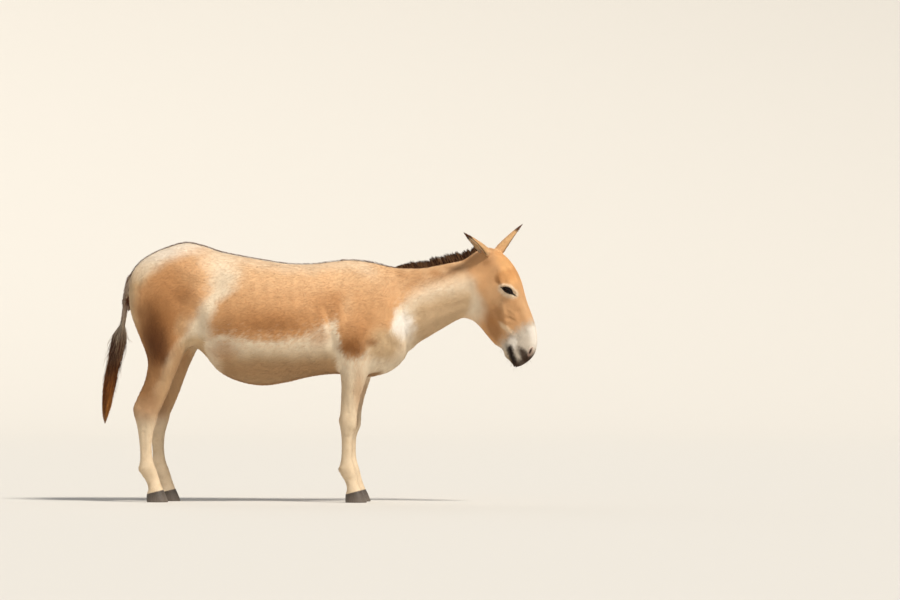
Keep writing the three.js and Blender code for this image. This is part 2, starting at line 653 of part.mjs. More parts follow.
// An ear is a leaf rolled into a cup: at each height an arc round the ear's axis, open towards facing.
function earSolid({ root, tip, facing }) {
  const axis = new THREE.Vector3(...minus(tip, root));
  const length = axis.length();
  axis.normalize();
  const front = new THREE.Vector3(...facing);
  front.addScaledVector(axis, -front.dot(axis)).normalize();
  const side = new THREE.Vector3().crossVectors(axis, front);
  const arcPoints = 7;
  const rows = evenly(0, 1, 10).map((t) => {
    const width = EAR.halfWidth * (0.9 + 0.35 * t) * Math.max(1 - t ** 2.1, 0.03) ** 0.8;
    const opening = THREE.MathUtils.lerp(2.7, 0.95, t ** 0.6);
    const radius = width / Math.sin(Math.min(opening, Math.PI / 2));
    const wall = Math.min(EAR.wall, radius * 0.5);
    const bend = front.clone().multiplyScalar((radius * (1 + Math.cos(opening))) / 2 - EAR.bow * Math.sin(Math.PI * t));
    const at = (angle, r) =>
      new THREE.Vector3(...root)
        .addScaledVector(axis, t * length)
        .add(bend)
        .addScaledVector(front, -r * Math.cos(angle))
        .addScaledVector(side, r * Math.sin(angle))
        .toArray();
    const arc = evenly(-opening, opening, arcPoints);
    return [...arc.map((a) => at(a, radius)), ...arc.reverse().map((a) => at(a, radius - wall))];
  });
  const { points, faces } = closedMesh(rows);
  // The two ends are strips between the outer and the inner arc.
  const n = 2 * arcPoints;
  for (const [start, flip] of [
    [0, false],
    [points.length - n, true],
  ])
    for (let j = 0; j < arcPoints - 1; j++) {
      const [a, b, c, d] = [start + j, start + j + 1, start + n - 2 - j, start + n - 1 - j];
      faces.push(...(flip ? [a, b, c, a, c, d] : [a, c, b, a, d, c]));
    }
  return solidOf({ points, faces });
}

const EARS = {
  right: { root: fromHead(8, 20, -44), tip: [729, -128, 1343], facing: [-0.6, -0.5, -0.6] },
  left: { root: fromHead(8, 52, 40), tip: [1009, 84, 1394], facing: [0.8, 0.25, -0.55] },
};

// A ridge of hair along a line of points: a wall that narrows upwards, with a ragged edge.
function maneSolid(crest, height) {
  const rows = evenly(0, 1, 19).map((t, i) => {
    const foot = crest(t);
    const rise = height(t) * (i % 2 ? 1 : 0.86);
    const half = MANE_HALF_WIDTH * Math.sqrt(Math.sin(Math.PI * THREE.MathUtils.clamp(t, 0.02, 0.98)));
    const lean = rise * 0.25;
    return [
      plus(foot, [0, half, -14]),
      plus(foot, [0, half * 0.9, rise * 0.35]),
      plus(foot, [-lean, 0, rise]),
      plus(foot, [0, -half * 0.9, rise * 0.35]),
      plus(foot, [0, -half, -14]),
    ];
  });
  const middle = (row) => [row.reduce((s, p) => plus(s, p, 1 / row.length), [0, 0, 0])];
  return solidOf(closedMesh([middle(rows[0]), ...rows, middle(rows[rows.length - 1])]));
}

// Level rings stacked along a table of height, middle, half depth and half width, with locks that stand out
// round them by a share (lobes) of their size.
function stackSolid(table, rings, columns, lobes, grow = 0) {
  const rows = evenly(table[0][0], table[table.length - 1][0], rings).map((height) => {
    const [z, x, deep, wide] = columnsAt(table, height);
    return Array.from({ length: columns }, (_, j) => {
      const a = (2 * Math.PI * j) / columns;
      const size = 1 + lobes * Math.cos(5 * a);
      return [x + (deep * size + grow) * Math.sin(a), (wide * size + grow) * Math.cos(a), z];
    });
  });
  const pole = (row) => [row.reduce((sum, p) => plus(sum, p, 1 / row.length), [0, 0, 0])];
  return solidOf(closedMesh([pole(rows[0]), ...rows, pole(rows[rows.length - 1])]));
}

function buildTail(trunkSkin) {
  parts.tail = stackSolid(DOCK, 10, 10, 0).subtract(trunkSkin);
  parts.tail_tuft = stackSolid(TUFT, 12, 13, 0.09).subtract(stackSolid(DOCK, 10, 10, 0, TOUCH_GAP));
}

function buildAll() {
  const whole = castTrunk(0);
  const trunkSkin = castTrunk(TOUCH_GAP);
  buildTrunk(whole);
  buildLegs(whole);
  buildNeckAndHead();
  const neckSkin = castNeck(TOUCH_GAP);
  const headSkin = castHead(TOUCH_GAP);
  buildFace();
  for (const [name, ear] of Object.entries(EARS)) parts[`ear_${name}`] = earSolid(ear).subtract(headSkin).subtract(neckSkin);
  const crest = (t) => hit(body, neck.middle(THREE.MathUtils.lerp(...MANE_SPAN, t)), neck.up, -2);
  const height = (t) => columnsAt(MANE_HEIGHT, t)[1];
  parts.mane = maneSolid(crest, height).subtract(neckSkin).subtract(headSkin).subtract(trunkSkin);
  buildTail(trunkSkin);
}

buildAll();

// ---------------------------------------------------------------- materials and the group

const finish = (color, roughness, metalness = 0) => new THREE.MeshStandardMaterial({ color, roughness, metalness });
const COAT = finish(0xd9ae7c, 0.85);
const PALE_COAT = finish(0xe6d6bf, 0.85);
const HORN = finish(0x4a423c, 0.5);
const DARK_HAIR = finish(0x3b2a22, 0.8);
const EYE = finish(0x1c120d, 0.08);

const MATERIALS = [
  [/hoof/, HORN],
  [/mane|tuft/, DARK_HAIR],
  [/eye/, EYE],
  [/cannon/, PALE_COAT],
  [/./, COAT],
];

function geometryOf(solid) {
  const mesh = solid.getMesh();
  const geometry = new THREE.BufferGeometry();
  geometry.setAttribute("position", new THREE.BufferAttribute(mesh.vertProperties, 3));
  geometry.setIndex(new THREE.BufferAttribute(mesh.triVerts, 1));
  return geometry;
}

const onager = new THREE.Group();
for (const [name, solid] of Object.entries(parts)) {
  const mesh = new THREE.Mesh(geometryOf(solid), MATERIALS.find(([pattern]) => pattern.test(name))[1]);
  mesh.name = name;
  onager.add(mesh);
}

// The frame's origin is on the floor, under the middle of the animal's box.
const box = new THREE.Box3().setFromObject(onager);
const centre = box.getCenter(new THREE.Vector3());
onager.position.set(-centre.x, -centre.y, -box.min.z);

export default onager;
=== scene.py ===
# %% [markdown]
# # An onager mare, life size, as a museum shows her
# The onager is an Asiatic wild ass: a sleek fawn summer coat over pale belly and legs, a short upright mane,
# a thin dark stripe along the back and a tufted tail. Her solids come packed from the CAD side. They could
# be smoothed and painted, but a mesh of a few thousand flat faces has no muscles, lids or hair. So this
# lesson keeps their formula: the same smooth field is worked out again with numpy, one skin is laid a
# coat's depth inside it, and the coat is made of thin locks of hair that reach out to it.

import bmesh
import bpy
import numpy as np
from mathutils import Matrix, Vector


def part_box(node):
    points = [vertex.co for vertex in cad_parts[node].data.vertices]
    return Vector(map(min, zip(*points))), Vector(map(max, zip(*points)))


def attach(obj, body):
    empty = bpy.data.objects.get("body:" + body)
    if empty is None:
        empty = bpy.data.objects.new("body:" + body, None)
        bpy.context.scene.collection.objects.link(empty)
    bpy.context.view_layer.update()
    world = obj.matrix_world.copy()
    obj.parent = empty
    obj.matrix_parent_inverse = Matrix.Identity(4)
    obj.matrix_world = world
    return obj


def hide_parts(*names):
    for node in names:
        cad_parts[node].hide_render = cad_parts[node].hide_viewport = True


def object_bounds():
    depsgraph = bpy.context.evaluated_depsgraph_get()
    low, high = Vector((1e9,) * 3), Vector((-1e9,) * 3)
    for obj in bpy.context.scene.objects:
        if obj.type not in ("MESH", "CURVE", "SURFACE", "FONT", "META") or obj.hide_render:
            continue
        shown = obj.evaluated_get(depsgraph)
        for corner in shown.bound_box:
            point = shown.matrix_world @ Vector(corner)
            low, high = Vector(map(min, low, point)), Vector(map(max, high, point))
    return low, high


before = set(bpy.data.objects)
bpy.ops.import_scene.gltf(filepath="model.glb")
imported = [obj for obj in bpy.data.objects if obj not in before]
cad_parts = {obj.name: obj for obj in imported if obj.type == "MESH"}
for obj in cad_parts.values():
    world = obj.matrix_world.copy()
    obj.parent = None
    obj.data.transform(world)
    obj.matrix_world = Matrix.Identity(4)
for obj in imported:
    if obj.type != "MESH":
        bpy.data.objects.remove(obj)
cad_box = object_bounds()
print("CAD box, m:", [tuple(round(c, 4) for c in corner) for corner in cad_box])

# %% [markdown]
# ## The tables
# An animal's body has no flat face to measure, so its shape is written down as a modeller's sections: rows
# of egg-shaped cuts along an axis. Each row says where the cut is, how far it reaches up and down, its half
# width, how high the widest level lies, and how round its upper and lower half are. They are in millimetres
# in her own frame: +X to the nose, +Y to her left, +Z up, soles at 0. One driving set serves solids and skin.

# %% Driving dimensions, mm
BLEND = {"neck": 70, "head": 42, "foreleg": 46, "hindleg": 60, "dock": 16}  # fillets where parts meet
STANCE = {"fore": 104, "hind": 108}  # a hoof's distance from the middle plane
HIND_LEFT_LEAN = 31  # how far the left hind hoof is set in front of the right one
HIP_HEIGHT = 1000  # the height from which a hind leg leans
HEAD_YAW = 7  # degrees that the nose is turned to her right
EYE_RADIUS, LID = 24, 3.4
EYE_AT = (216, 56, 75)  # along the head, up and outwards
EAR_HALF_WIDTH, EAR_WALL, EAR_BOW = 30, 3.2, 5

# %% Sections of the trunk, neck and head
TRUNK = [
    [-965, 1052, 1020, 22, 0.5, 2, 2],  # point of the buttock
    [-952, 1138, 935, 82, 0.5, 2, 2],
    [-919, 1194, 855, 128, 0.48, 2, 2],  # tail root
    [-863, 1237, 810, 168, 0.45, 1.95, 2],
    [-783, 1274, 792, 198, 0.44, 1.85, 2.1],
    [-682, 1301, 785, 212, 0.46, 1.8, 2.1],  # croup
    [-601, 1288, 752, 214, 0.48, 1.85, 2.1],  # hips
    [-510, 1257, 652, 226, 0.44, 1.95, 2.1],  # loin
    [-409, 1235, 601, 250, 0.42, 2, 2.1],
    [-288, 1213, 581, 266, 0.42, 2, 2.1],  # deepest of the belly
    [-167, 1194, 598, 262, 0.43, 1.95, 2.1],
    [-56, 1191, 624, 243, 0.44, 1.85, 2.1],
    [55, 1201, 638, 216, 0.42, 1.65, 2.1],  # girth
    [151, 1206, 636, 196, 0.38, 1.5, 2.1],  # withers
    [236, 1186, 632, 184, 0.38, 1.55, 2],
    [317, 1148, 640, 166, 0.4, 1.7, 2],
    [378, 1110, 680, 134, 0.42, 1.9, 2],  # breast
    [423, 1000, 745, 84, 0.45, 2, 2],
    [438, 930, 800, 34, 0.5, 2, 2],
]
NECK = [
    [-90, 290, -250, 140, 0.42, 1.7, 2],  # between the shoulder blades
    [40, 262, -232, 142, 0.42, 1.65, 2],
    [115, 226, -196, 128, 0.42, 1.65, 2],
    [190, 197, -177, 112, 0.42, 1.65, 2],
    [285, 169, -155, 97, 0.42, 1.65, 2],
    [375, 158, -137, 88, 0.42, 1.65, 2],
    [460, 148, -134, 81, 0.42, 1.7, 2],  # throat
    [550, 139, -120, 74, 0.45, 1.8, 2],
    [615, 122, -90, 52, 0.5, 2, 2],
]
HEAD = [
    [-34, 22, -40, 26, 0.5, 2, 2],  # poll
    [-14, 48, -92, 52, 0.62, 2, 1.9],
    [30, 84, -140, 70, 0.66, 2.2, 1.8],
    [80, 106, -166, 80, 0.7, 2.4, 1.7],
    [130, 116, -180, 88, 0.74, 2.7, 1.6],
    [180, 118, -190, 94, 0.75, 2.9, 1.55],  # eyes
    [222, 115, -198, 91, 0.72, 2.9, 1.6],
    [258, 112, -193, 84, 0.68, 2.8, 1.7],  # jowl
    [290, 110, -174, 76, 0.64, 2.7, 1.8],
    [330, 110, -155, 67, 0.6, 2.6, 1.9],
    [380, 110, -138, 58, 0.58, 2.5, 2],
    [430, 107, -119, 51, 0.56, 2.4, 2],  # above the nostrils
    [462, 101, -97, 49, 0.54, 2.3, 2.1],
    [486, 93, -88, 50, 0.52, 2.2, 2.2],  # chin groove
    [512, 81, -85, 50, 0.52, 2.2, 2.3],  # nostrils
    [538, 63, -76, 46, 0.5, 2.3, 2.3],
    [560, 38, -69, 37, 0.46, 2.3, 2.2],
    [574, 6, -63, 24, 0.42, 2.1, 2.1],
    [581, -22, -50, 9, 0.45, 2, 2],  # lips
]

# %% Sections of the legs
# Upper and lower reach are a leg's front and back, and the last column says how much further out or in
# than the hoof its middle lies.
FORELEG = [
    [0, 244, 136, 46, 0.5, 2, 2.6, 0],  # sole
    [18, 237, 135, 45, 0.5, 2, 2.5, 0],
    [42, 227, 137, 42, 0.5, 2, 2.4, 0],
    [64, 216, 142, 37, 0.5, 2, 2.3, 0],  # coronet
    [86, 207, 140, 31, 0.5, 2, 2.2, 0],
    [112, 198, 129, 28, 0.5, 2.1, 2.1, 0],  # pastern
    [140, 191, 112, 32, 0.52, 2.2, 2.1, 0],
    [166, 184, 104, 35, 0.54, 2.3, 2.1, 0],  # fetlock
    [192, 176, 109, 32, 0.54, 2.2, 2, 0],
    [222, 170, 114, 27, 0.56, 2.1, 2, 0],
    [272, 168, 116, 25, 0.58, 2.1, 2, 0],  # cannon
    [322, 171, 115, 27, 0.58, 2.1, 2, 0],
    [350, 179, 112, 33, 0.56, 2.4, 2.1, 0],
    [378, 190, 109, 39, 0.55, 2.8, 2.2, 0],  # knee
    [408, 194, 107, 41, 0.55, 2.8, 2.2, 0],
    [438, 195, 109, 39, 0.55, 2.6, 2.2, 1],
    [475, 200, 111, 38, 0.52, 2.3, 2.1, 2],
    [525, 212, 113, 42, 0.5, 2.1, 2.1, 4],
    [580, 230, 114, 50, 0.48, 2, 2.1, 7],  # forearm
    [640, 250, 109, 60, 0.45, 2, 2.1, 10],
    [700, 269, 103, 70, 0.45, 2, 2.1, 14],  # elbow
    [770, 286, 101, 76, 0.45, 2, 2.1, 20],
    [850, 306, 111, 70, 0.45, 2, 2, 26],
]
HINDLEG = [
    [0, -752, -860, 44, 0.5, 2, 2.6, 0],  # sole
    [18, -759, -862, 43, 0.5, 2, 2.5, 0],
    [42, -769, -860, 40, 0.5, 2, 2.4, 0],
    [64, -779, -854, 36, 0.5, 2, 2.3, 0],  # coronet
    [86, -788, -858, 31, 0.5, 2, 2.2, 0],
    [112, -797, -870, 28, 0.5, 2.1, 2.1, 0],  # pastern
    [140, -806, -889, 32, 0.52, 2.2, 2.1, 0],
    [166, -815, -900, 35, 0.54, 2.3, 2.1, 0],  # fetlock
    [192, -825, -898, 32, 0.54, 2.2, 2, 0],
    [222, -832, -895, 27, 0.56, 2.1, 2, 0],
    [272, -836, -897, 25, 0.58, 2.1, 2, 0],  # cannon
    [330, -832, -903, 27, 0.58, 2.1, 2, 0],
    [372, -822, -910, 32, 0.58, 2.2, 2, 0],
    [408, -811, -919, 38, 0.6, 2.4, 1.9, 0],  # hock
    [440, -803, -928, 40, 0.64, 2.5, 1.7, 0],
    [470, -789, -932, 38, 0.68, 2.4, 1.5, 0],  # point of the hock
    [500, -775, -922, 37, 0.68, 2.2, 1.5, 0],
    [550, -752, -899, 40, 0.62, 2.1, 1.6, 1],
    [605, -731, -874, 47, 0.56, 2, 1.8, 3],  # gaskin
    [660, -708, -861, 57, 0.52, 2, 2, 6],
    [705, -687, -858, 66, 0.5, 2, 2.1, 8],
    [760, -658, -872, 76, 0.5, 2, 2.1, 10],
    [820, -622, -896, 84, 0.5, 2, 2.1, 11],  # stifle
    [890, -610, -920, 90, 0.5, 2, 2.1, 10],
    [980, -638, -933, 88, 0.5, 2, 2, 6],
    [1060, -688, -923, 70, 0.5, 2, 2, 0],  # thigh, under the rump
]

# %% The tail and the mane
# The tail's rows: height, middle, half depth, half width. The mane's: share of its length, height of hair.
DOCK = np.array([
    [842, -1008, 9, 10],
    [895, -999, 13, 13],
    [945, -993, 15, 15],
    [1020, -982, 17, 18],
    [1085, -966, 22, 22],
    [1135, -940, 34, 27],
    [1172, -905, 40, 30],
], float)
TUFT = np.array([
    [388, -1090, 3, 3],
    [435, -1088, 13, 11],
    [480, -1083, 20, 17],
    [565, -1070, 25, 22],
    [630, -1058, 28, 24],
    [695, -1044, 30, 26],
    [755, -1031, 35, 28],
    [800, -1022, 37, 29],
    [845, -1014, 32, 26],
    [888, -1003, 18, 17],
], float)
MANE_SPAN = (152, 572)
MANE_HEIGHT = np.array([[0, 4], [0.06, 16], [0.2, 36], [0.5, 48], [0.78, 47], [1, 26]])

# %% [markdown]
# ## Muscles, bones and hollows
# Under a short coat every muscle shows. A mark raises the surface round a point (swell) or along a line
# (ridge), or sinks it where the rise is negative. The first lists are those of the solids. The fine ones
# after them, a few millimetres at most, are for the skin alone: wrinkles, veins, tendons and folds.

# %% Marks on the body
def swell(at, size, rise):
    """A bump: rise times exp(-d^2), where d is the distance from `at` counted in units of `size`."""
    return np.array(at, float), None, np.array(size, float), rise


def ridge(start, end, width, rise):
    """A long bump: rise times exp(-d^2), where d is the distance from the line in units of `width`."""
    return np.array(start, float), np.array(end, float), float(width), rise


TRUNK_MARKS = [
    swell([-603, 1135, 185], [42, 40, 60], 13),  # point of the hip
    swell([-505, 1065, 215], [75, 62, 80], -17),  # hollow of the flank
    swell([-745, 1190, 130], [115, 70, 80], 8),  # gluteal muscle
    swell([-815, 1035, 195], [60, 60, 60], 6),  # hip joint
    swell([-900, 985, 120], [60, 120, 70], 7),  # hamstrings
    ridge([-905, 1130, 140], [-868, 830, 165], 20, -7),  # groove behind the hamstrings
    ridge([-940, 1080, 0], [-890, 800, 0], 26, -26),  # cleft of the buttocks
    swell([-640, 850, 175], [55, 60, 60], 9),  # stifle
    ridge([-625, 835, 160], [-470, 740, 190], 34, 9),  # flank fold
    ridge([-600, 960, 215], [-560, 830, 200], 26, -7),  # edge of the thigh
    ridge([185, 1150, 60], [330, 900, 165], 26, 7),  # spine of the shoulder blade
    ridge([90, 1120, 110], [140, 930, 190], 30, -6),  # hollow behind the shoulder blade
    swell([180, 830, 180], [80, 85, 60], 12),  # triceps
    ridge([52, 960, 205], [92, 730, 190], 24, -9),  # back edge of the triceps
    swell([372, 850, 130], [42, 48, 60], 13),  # point of the shoulder
    ridge([300, 960, 150], [352, 800, 150], 22, -5),  # groove before the triceps
    swell([105, 712, 150], [24, 28, 34], 9),  # elbow
    swell([390, 735, 55], [50, 60, 40], 9),  # breast muscles
    ridge([445, 830, 0], [300, 636, 0], 22, -9),  # groove between the breast muscles
    swell([30, 690, 150], [45, 50, 60], -7),  # hollow behind the elbow
    ridge([-40, 1150, 150], [20, 760, 250], 200, 3),  # spring of the ribs
]
NECK_MARKS = [
    ridge([120, -60, 130], [430, -75, 80], 20, -6),  # jugular groove
    ridge([60, 40, 150], [520, 20, 80], 34, 6),  # muscle from the shoulder to the skull
    ridge([60, 185, 60], [500, 110, 50], 24, -4),  # hollow below the crest
    swell([508, 30, 76], [28, 42, 24], 7),  # wing of the first neck bone
]
HEAD_MARKS = [
    swell([188, 76, 82], [34, 20, 22], 11),  # brow over the eye
    swell([216, 56, 86], [26, 22, 18], 7),  # eyelids
    ridge([110, 52, 78], [176, 40, 96], 15, 7),  # cheek bone, back to the ear
    swell([118, 82, 66], [24, 16, 18], -8),  # hollow of the temple
    swell([170, -92, 66], [72, 62, 34], 9),  # cheek muscle
    ridge([262, 4, 84], [352, -14, 62], 12, 8),  # crest of the cheek
    ridge([236, 20, 92], [258, -40, 86], 14, -5),  # hollow under the eye
    ridge([300, -52, 70], [410, -66, 52], 20, -6),  # hollow before the jaw
    ridge([330, 62, 60], [440, 58, 50], 17, -5),  # side of the nose bone
    swell([520, 44, 42], [34, 26, 20], 8),  # wing of the nostril
    swell([540, -22, 36], [26, 24, 20], 5),  # upper lip
    swell([508, -84, 0], [20, 14, 26], 5),  # chin
    swell([-2, 34, 44], [34, 36, 26], 13),  # root of the ear
]
FORELEG_MARKS = [
    ridge([240, 128, 28], [335, 127, 30], 7, -4),  # between the bone and the tendons
    swell([408, 104, 0], [26, 14, 16], 5),  # bone at the back of the knee
    swell([408, 186, 0], [34, 16, 30], -2),
    swell([166, 98, 0], [20, 14, 22], 4),  # ergot
    ridge([470, 150, 46], [640, 160, 66], 16, 3),  # muscle of the forearm
]
HINDLEG_MARKS = [
    ridge([240, -872, 28], [350, -872, 30], 7, -4),  # between the bone and the tendons
    ridge([480, -893, 30], [600, -850, 46], 12, -8),  # hollow before the Achilles tendon
    ridge([480, -893, -30], [600, -850, -46], 12, -8),
    swell([438, -850, 38], [20, 18, 14], 3),  # ankle bone
    swell([166, -902, 0], [20, 14, 22], 4),  # ergot
    ridge([640, -770, 60], [800, -700, 90], 26, 4),  # muscle of the gaskin
]

# %% Fine marks for the skin alone
TRUNK_FINE = [
    ridge([62 - 16 * n, 905 - 26 * n, 222], [30 - 13 * n, 800 - 26 * n, 236], 4.5, -2.2) for n in range(5)
] + [  # ribs, faint under the coat
    ridge([-60 - 62 * n, 1090, 205], [-20 - 62 * n, 830, 262], 17, 1.6) for n in range(5)
] + [
    ridge([-585, 1010, 215], [-545, 862, 215], 9, -3.5),  # flank fold, its crease
    ridge([-900, 960, 140], [-845, 800, 170], 9, -3),  # between the hamstrings
    ridge([-640, 800, 188], [-560, 745, 196], 10, -2.5),
    ridge([120, 735, 176], [235, 805, 190], 10, -3),  # under the triceps
    ridge([235, 920, 176], [305, 815, 172], 12, -2.2),
    ridge([-380, 700, 235], [-60, 680, 205], 5, 1.4),  # vein of the belly
    swell([-700, 1090, 205], [60, 45, 60], -2.6),
]
NECK_FINE = [
    ridge([130 + 34 * n, 95, 96], [118 + 34 * n, 20, 128], 7, -0.8) for n in range(6)
] + [
    ridge([150, 18, 128], [420, -20, 96], 12, -2),
]
HEAD_FINE = [
    ridge([262, 4, 84], [352, -14, 62], 13, -2.5),  # the crest shows less through the skin
    ridge([322, -30, 76], [350, 14, 68], 6, -5),  # crease at the end of the cheek's crest
    ridge([350, 14, 68], [398, 50, 57], 6, -4),
    ridge([338, -42, 74], [424, -10, 56], 15, 3.5),  # muscle that lifts the lip
    ridge([150, 14, 92], [176, 34, 96], 8, -2.6),  # hollow behind the eye
    ridge([262, 56, 84], [300, 52, 76], 5, -2.2),  # tear line
    ridge([240, -86, 80], [330, -100, 62], 6, 1.6),  # vein of the jaw
    ridge([300, 20, 74], [372, 66, 56], 4.5, 1.5),  # vein of the face
    ridge([470, -16, 50], [520, -24, 46], 6, -1.6),
    swell([498, 6, 50], [22, 14, 20], 2.4),  # cushion between nostril and lip
    swell([560, -40, 24], [14, 16, 16], 2),
    ridge([455, -92, 24], [478, -98, 0], 9, -3),  # chin groove
    ridge([440, 96, 0], [470, 92, 0], 12, -1.5),
]
FORELEG_FINE = [
    ridge([370, 184, 22], [432, 190, 22], 9, 1.8),  # edges of the knee
    ridge([352, 150, 38], [372, 150, 40], 6, -1.6),
    ridge([446, 150, 38], [500, 148, 40], 7, -1.8),
    ridge([200, 108, 14], [340, 112, 14], 5, 1.4),  # tendons
    ridge([86, 150, 26], [132, 122, 24], 6, -1.2),
]
HINDLEG_FINE = [
    ridge([412, -820, 24], [452, -812, 26], 9, 1.6),
    ridge([372, -868, 32], [400, -872, 36], 7, -1.6),
    ridge([200, -892, 14], [360, -900, 14], 5, 1.3),  # tendons
    ridge([560, -800, 46], [700, -716, 70], 11, -1.8),
    ridge([86, -846, 26], [132, -874, 24], 6, -1.2),
]
print("marks:", sum(map(len, (TRUNK_MARKS, NECK_MARKS, HEAD_MARKS, FORELEG_MARKS, HINDLEG_MARKS))))
print("fine marks:", sum(map(len, (TRUNK_FINE, NECK_FINE, HEAD_FINE, FORELEG_FINE, HINDLEG_FINE))))

# %% [markdown]
# ## The field
# The body could be sculpted by hand, or subdivided from a cage. A field is chosen instead: a number for
# every point of space, below zero inside her and zero at the outside of her coat. Parts then blend by
# arithmetic, whole arrays of points are tested at once, and anything that lies on her, such as hair, can
# ask how far from the surface it is.

# %% Curves through a table, and soft joins
def columns_at(table, at):
    """Every column of a table at the places `at`: cubic curves whose slopes are those of the neighbours."""
    table = np.asarray(table, float)
    x = np.clip(at, table[0, 0], table[-1, 0])
    i = np.clip(np.searchsorted(table[:, 0], x) - 1, 0, len(table) - 2)
    a, b = table[i], table[i + 1]
    before, after = table[np.maximum(i - 1, 0)], table[np.minimum(i + 2, len(table) - 1)]
    width = (b - a)[:, :1]
    t = (x[:, None] - a[:, :1]) / width
    slope_a = (b - before) / (b - before)[:, :1] * width
    slope_b = (after - a) / (after - a)[:, :1] * width
    here = (2 * t**3 - 3 * t**2 + 1) * a + (t**3 - 2 * t**2 + t) * slope_a
    return (here + (3 * t**2 - 2 * t**3) * b + (t**3 - t**2) * slope_b).T


def blended(a, b, k):
    """The smaller of two distances, rounded off where they are within k of each other."""
    h = np.maximum(k - np.abs(a - b), 0) / k
    return np.minimum(a, b) - h * h * k / 4


def fade(value, start, end):
    """0 before start, 1 after end, and a smooth rise between them. Start may be the larger one."""
    t = np.clip((value - start) / (end - start), 0, 1)
    return t * t * (3 - 2 * t)


def relief(marks, place):
    """The sum of all marks at places in the loft's own frame."""
    total = np.zeros(len(place))
    for start, end, size, rise in marks:
        off = place - start
        if end is not None:
            line = end - start
            off = off - np.clip(off @ line / (line @ line), 0, 1)[:, None] * line
        total += rise * np.exp(-((off / size) ** 2).sum(1))
    return total


# %% A loft
CLEAR, FAR = 130, 400  # mm: past CLEAR from a loft's own box its distance is taken as FAR


class Loft:
    """Sections along an axis. A point's distance is its size in the section times (share - 1), where share
    is how far out it lies between the middle (0) and the outline (1), less what the marks raise. Towards
    each end it fades into the distance from the end, at the given slope, rounded off over the given width."""

    def __init__(self, origin, along, up, out, table, marks, fine=(), mirrored=True, lean=0,
                 ends=((1, 8), (1, 8))):
        self.origin, self.along, self.up, self.out = (np.array(v, float) for v in (origin, along, up, out))
        self.ends = ends
        self.table, self.marks, self.fine, self.mirrored, self.lean = table, marks, fine, mirrored, lean
        self.widest = max(row[3] for row in table)

    def leaning(self, s):
        return self.lean * np.maximum(1 - (s / HIP_HEIGHT) ** 3, 0)

    def local(self, points):
        """Places along, up and outwards."""
        d = points - self.origin
        s = d @ self.along
        return np.stack([s, d @ self.up - self.leaning(s), d @ self.out], axis=1)

    def world(self, place):
        s, v, w = np.asarray(place, float).T
        v = v + self.leaning(s)
        return self.origin + s[:, None] * self.along + v[:, None] * self.up + w[:, None] * self.out

    def section(self, s):
        _, top, bottom, half, wide, upper, lower, *shift = columns_at(self.table, s)
        shift = shift[0] if shift else np.zeros(len(s))
        return top, bottom, half, bottom + wide * (top - bottom), upper, lower, shift

    def middle(self, s):
        _, _, _, middle, _, _, shift = self.section(s)
        return self.world(np.stack([s, middle, shift], axis=1))

    def distance(self, points, fine=False):
        """Far from the loft no part can blend with it, so there the answer is just FAR."""
        place = self.local(points)
        low = [self.table[0][0], min(row[2] for row in self.table), -self.widest]
        high = [self.table[-1][0], max(row[1] for row in self.table), self.widest]
        near = ((place > np.array(low) - CLEAR) & (place < np.array(high) + CLEAR)).all(axis=1)
        found = np.full(len(place), float(FAR))
        if near.any():
            found[near] = self.distance_near(place[near], fine)
        return found

    def distance_near(self, place, fine):
        s, v, w = place.T
        top, bottom, half, middle, upper, lower, shift = self.section(s)
        above = v > middle
        reach, power = np.where(above, top - middle, middle - bottom), np.where(above, upper, lower)
        w, v = w - shift, v - middle
        share = (np.abs(w / half) ** power + np.abs(v / reach) ** power) ** (1 / power)
        size = np.where(share > 1e-3, np.hypot(w, v) / np.maximum(share, 1e-3), np.minimum(half, reach))
        if self.mirrored:
            place = place * (1, 1, 0) + np.abs(place) * (0, 0, 1)
        value = size * (share - 1) - relief(self.marks, place)
        if fine:
            value = value - relief(self.fine, place)
        for past, (slope, width) in zip((self.table[0][0] - s, s - self.table[-1][0]), self.ends):
            value = -blended(-value, -slope * past, width)
        return value


# %% The eight lofts and the whole body
def cosine_and_sine(degrees):
    return np.cos(np.radians(degrees)), np.sin(np.radians(degrees))


def turned(degrees, v):
    """A vector turned about Z, towards her right."""
    c, s = cosine_and_sine(degrees)
    return np.array([v[0] * c + v[1] * s, v[1] * c - v[0] * s, v[2]])


BURIED = (0.35, 30)  # an end that lies inside another part sinks gently


def leg(table, marks, fine, side, stance, lean):
    """An upright loft. side is 1 for her left and -1 for her right."""
    axes = (0, side * stance, 0), (0, 0, 1), (1, 0, 0), (0, side, 0)
    return Loft(*axes, table, marks, fine, False, lean, ((1, 2), BURIED))


NECK_RISE, HEAD_DIP = 17.7, 69  # degrees from level
(neck_c, neck_s), (head_c, head_s) = cosine_and_sine(NECK_RISE), cosine_and_sine(HEAD_DIP)
head_axes = (turned(HEAD_YAW, v) for v in ((head_c, 0, -head_s), (head_s, 0, head_c), (0, 1, 0)))
dock_table = [[z, x + d, x - d, w, 0.5, 2, 2, 0] for z, x, d, w in DOCK]
PARTS = {
    "trunk": Loft((0, 0, 0), (1, 0, 0), (0, 0, 1), (0, 1, 0), TRUNK, TRUNK_MARKS, TRUNK_FINE),
    "neck": Loft((300, 0, 930), (neck_c, 0, neck_s), (-neck_s, 0, neck_c), (0, 1, 0),
                 NECK, NECK_MARKS, NECK_FINE, ends=(BURIED, BURIED)),
    "head": Loft((830, -8, 1235), *head_axes, HEAD, HEAD_MARKS, HEAD_FINE),
}
SIDES = {"right": -1, "left": 1}
for name, side in SIDES.items():
    lean = HIND_LEFT_LEAN if side > 0 else 0
    PARTS["foreleg_" + name] = leg(FORELEG, FORELEG_MARKS, FORELEG_FINE, side, STANCE["fore"], 0)
    PARTS["hindleg_" + name] = leg(HINDLEG, HINDLEG_MARKS, HINDLEG_FINE, side, STANCE["hind"], lean)
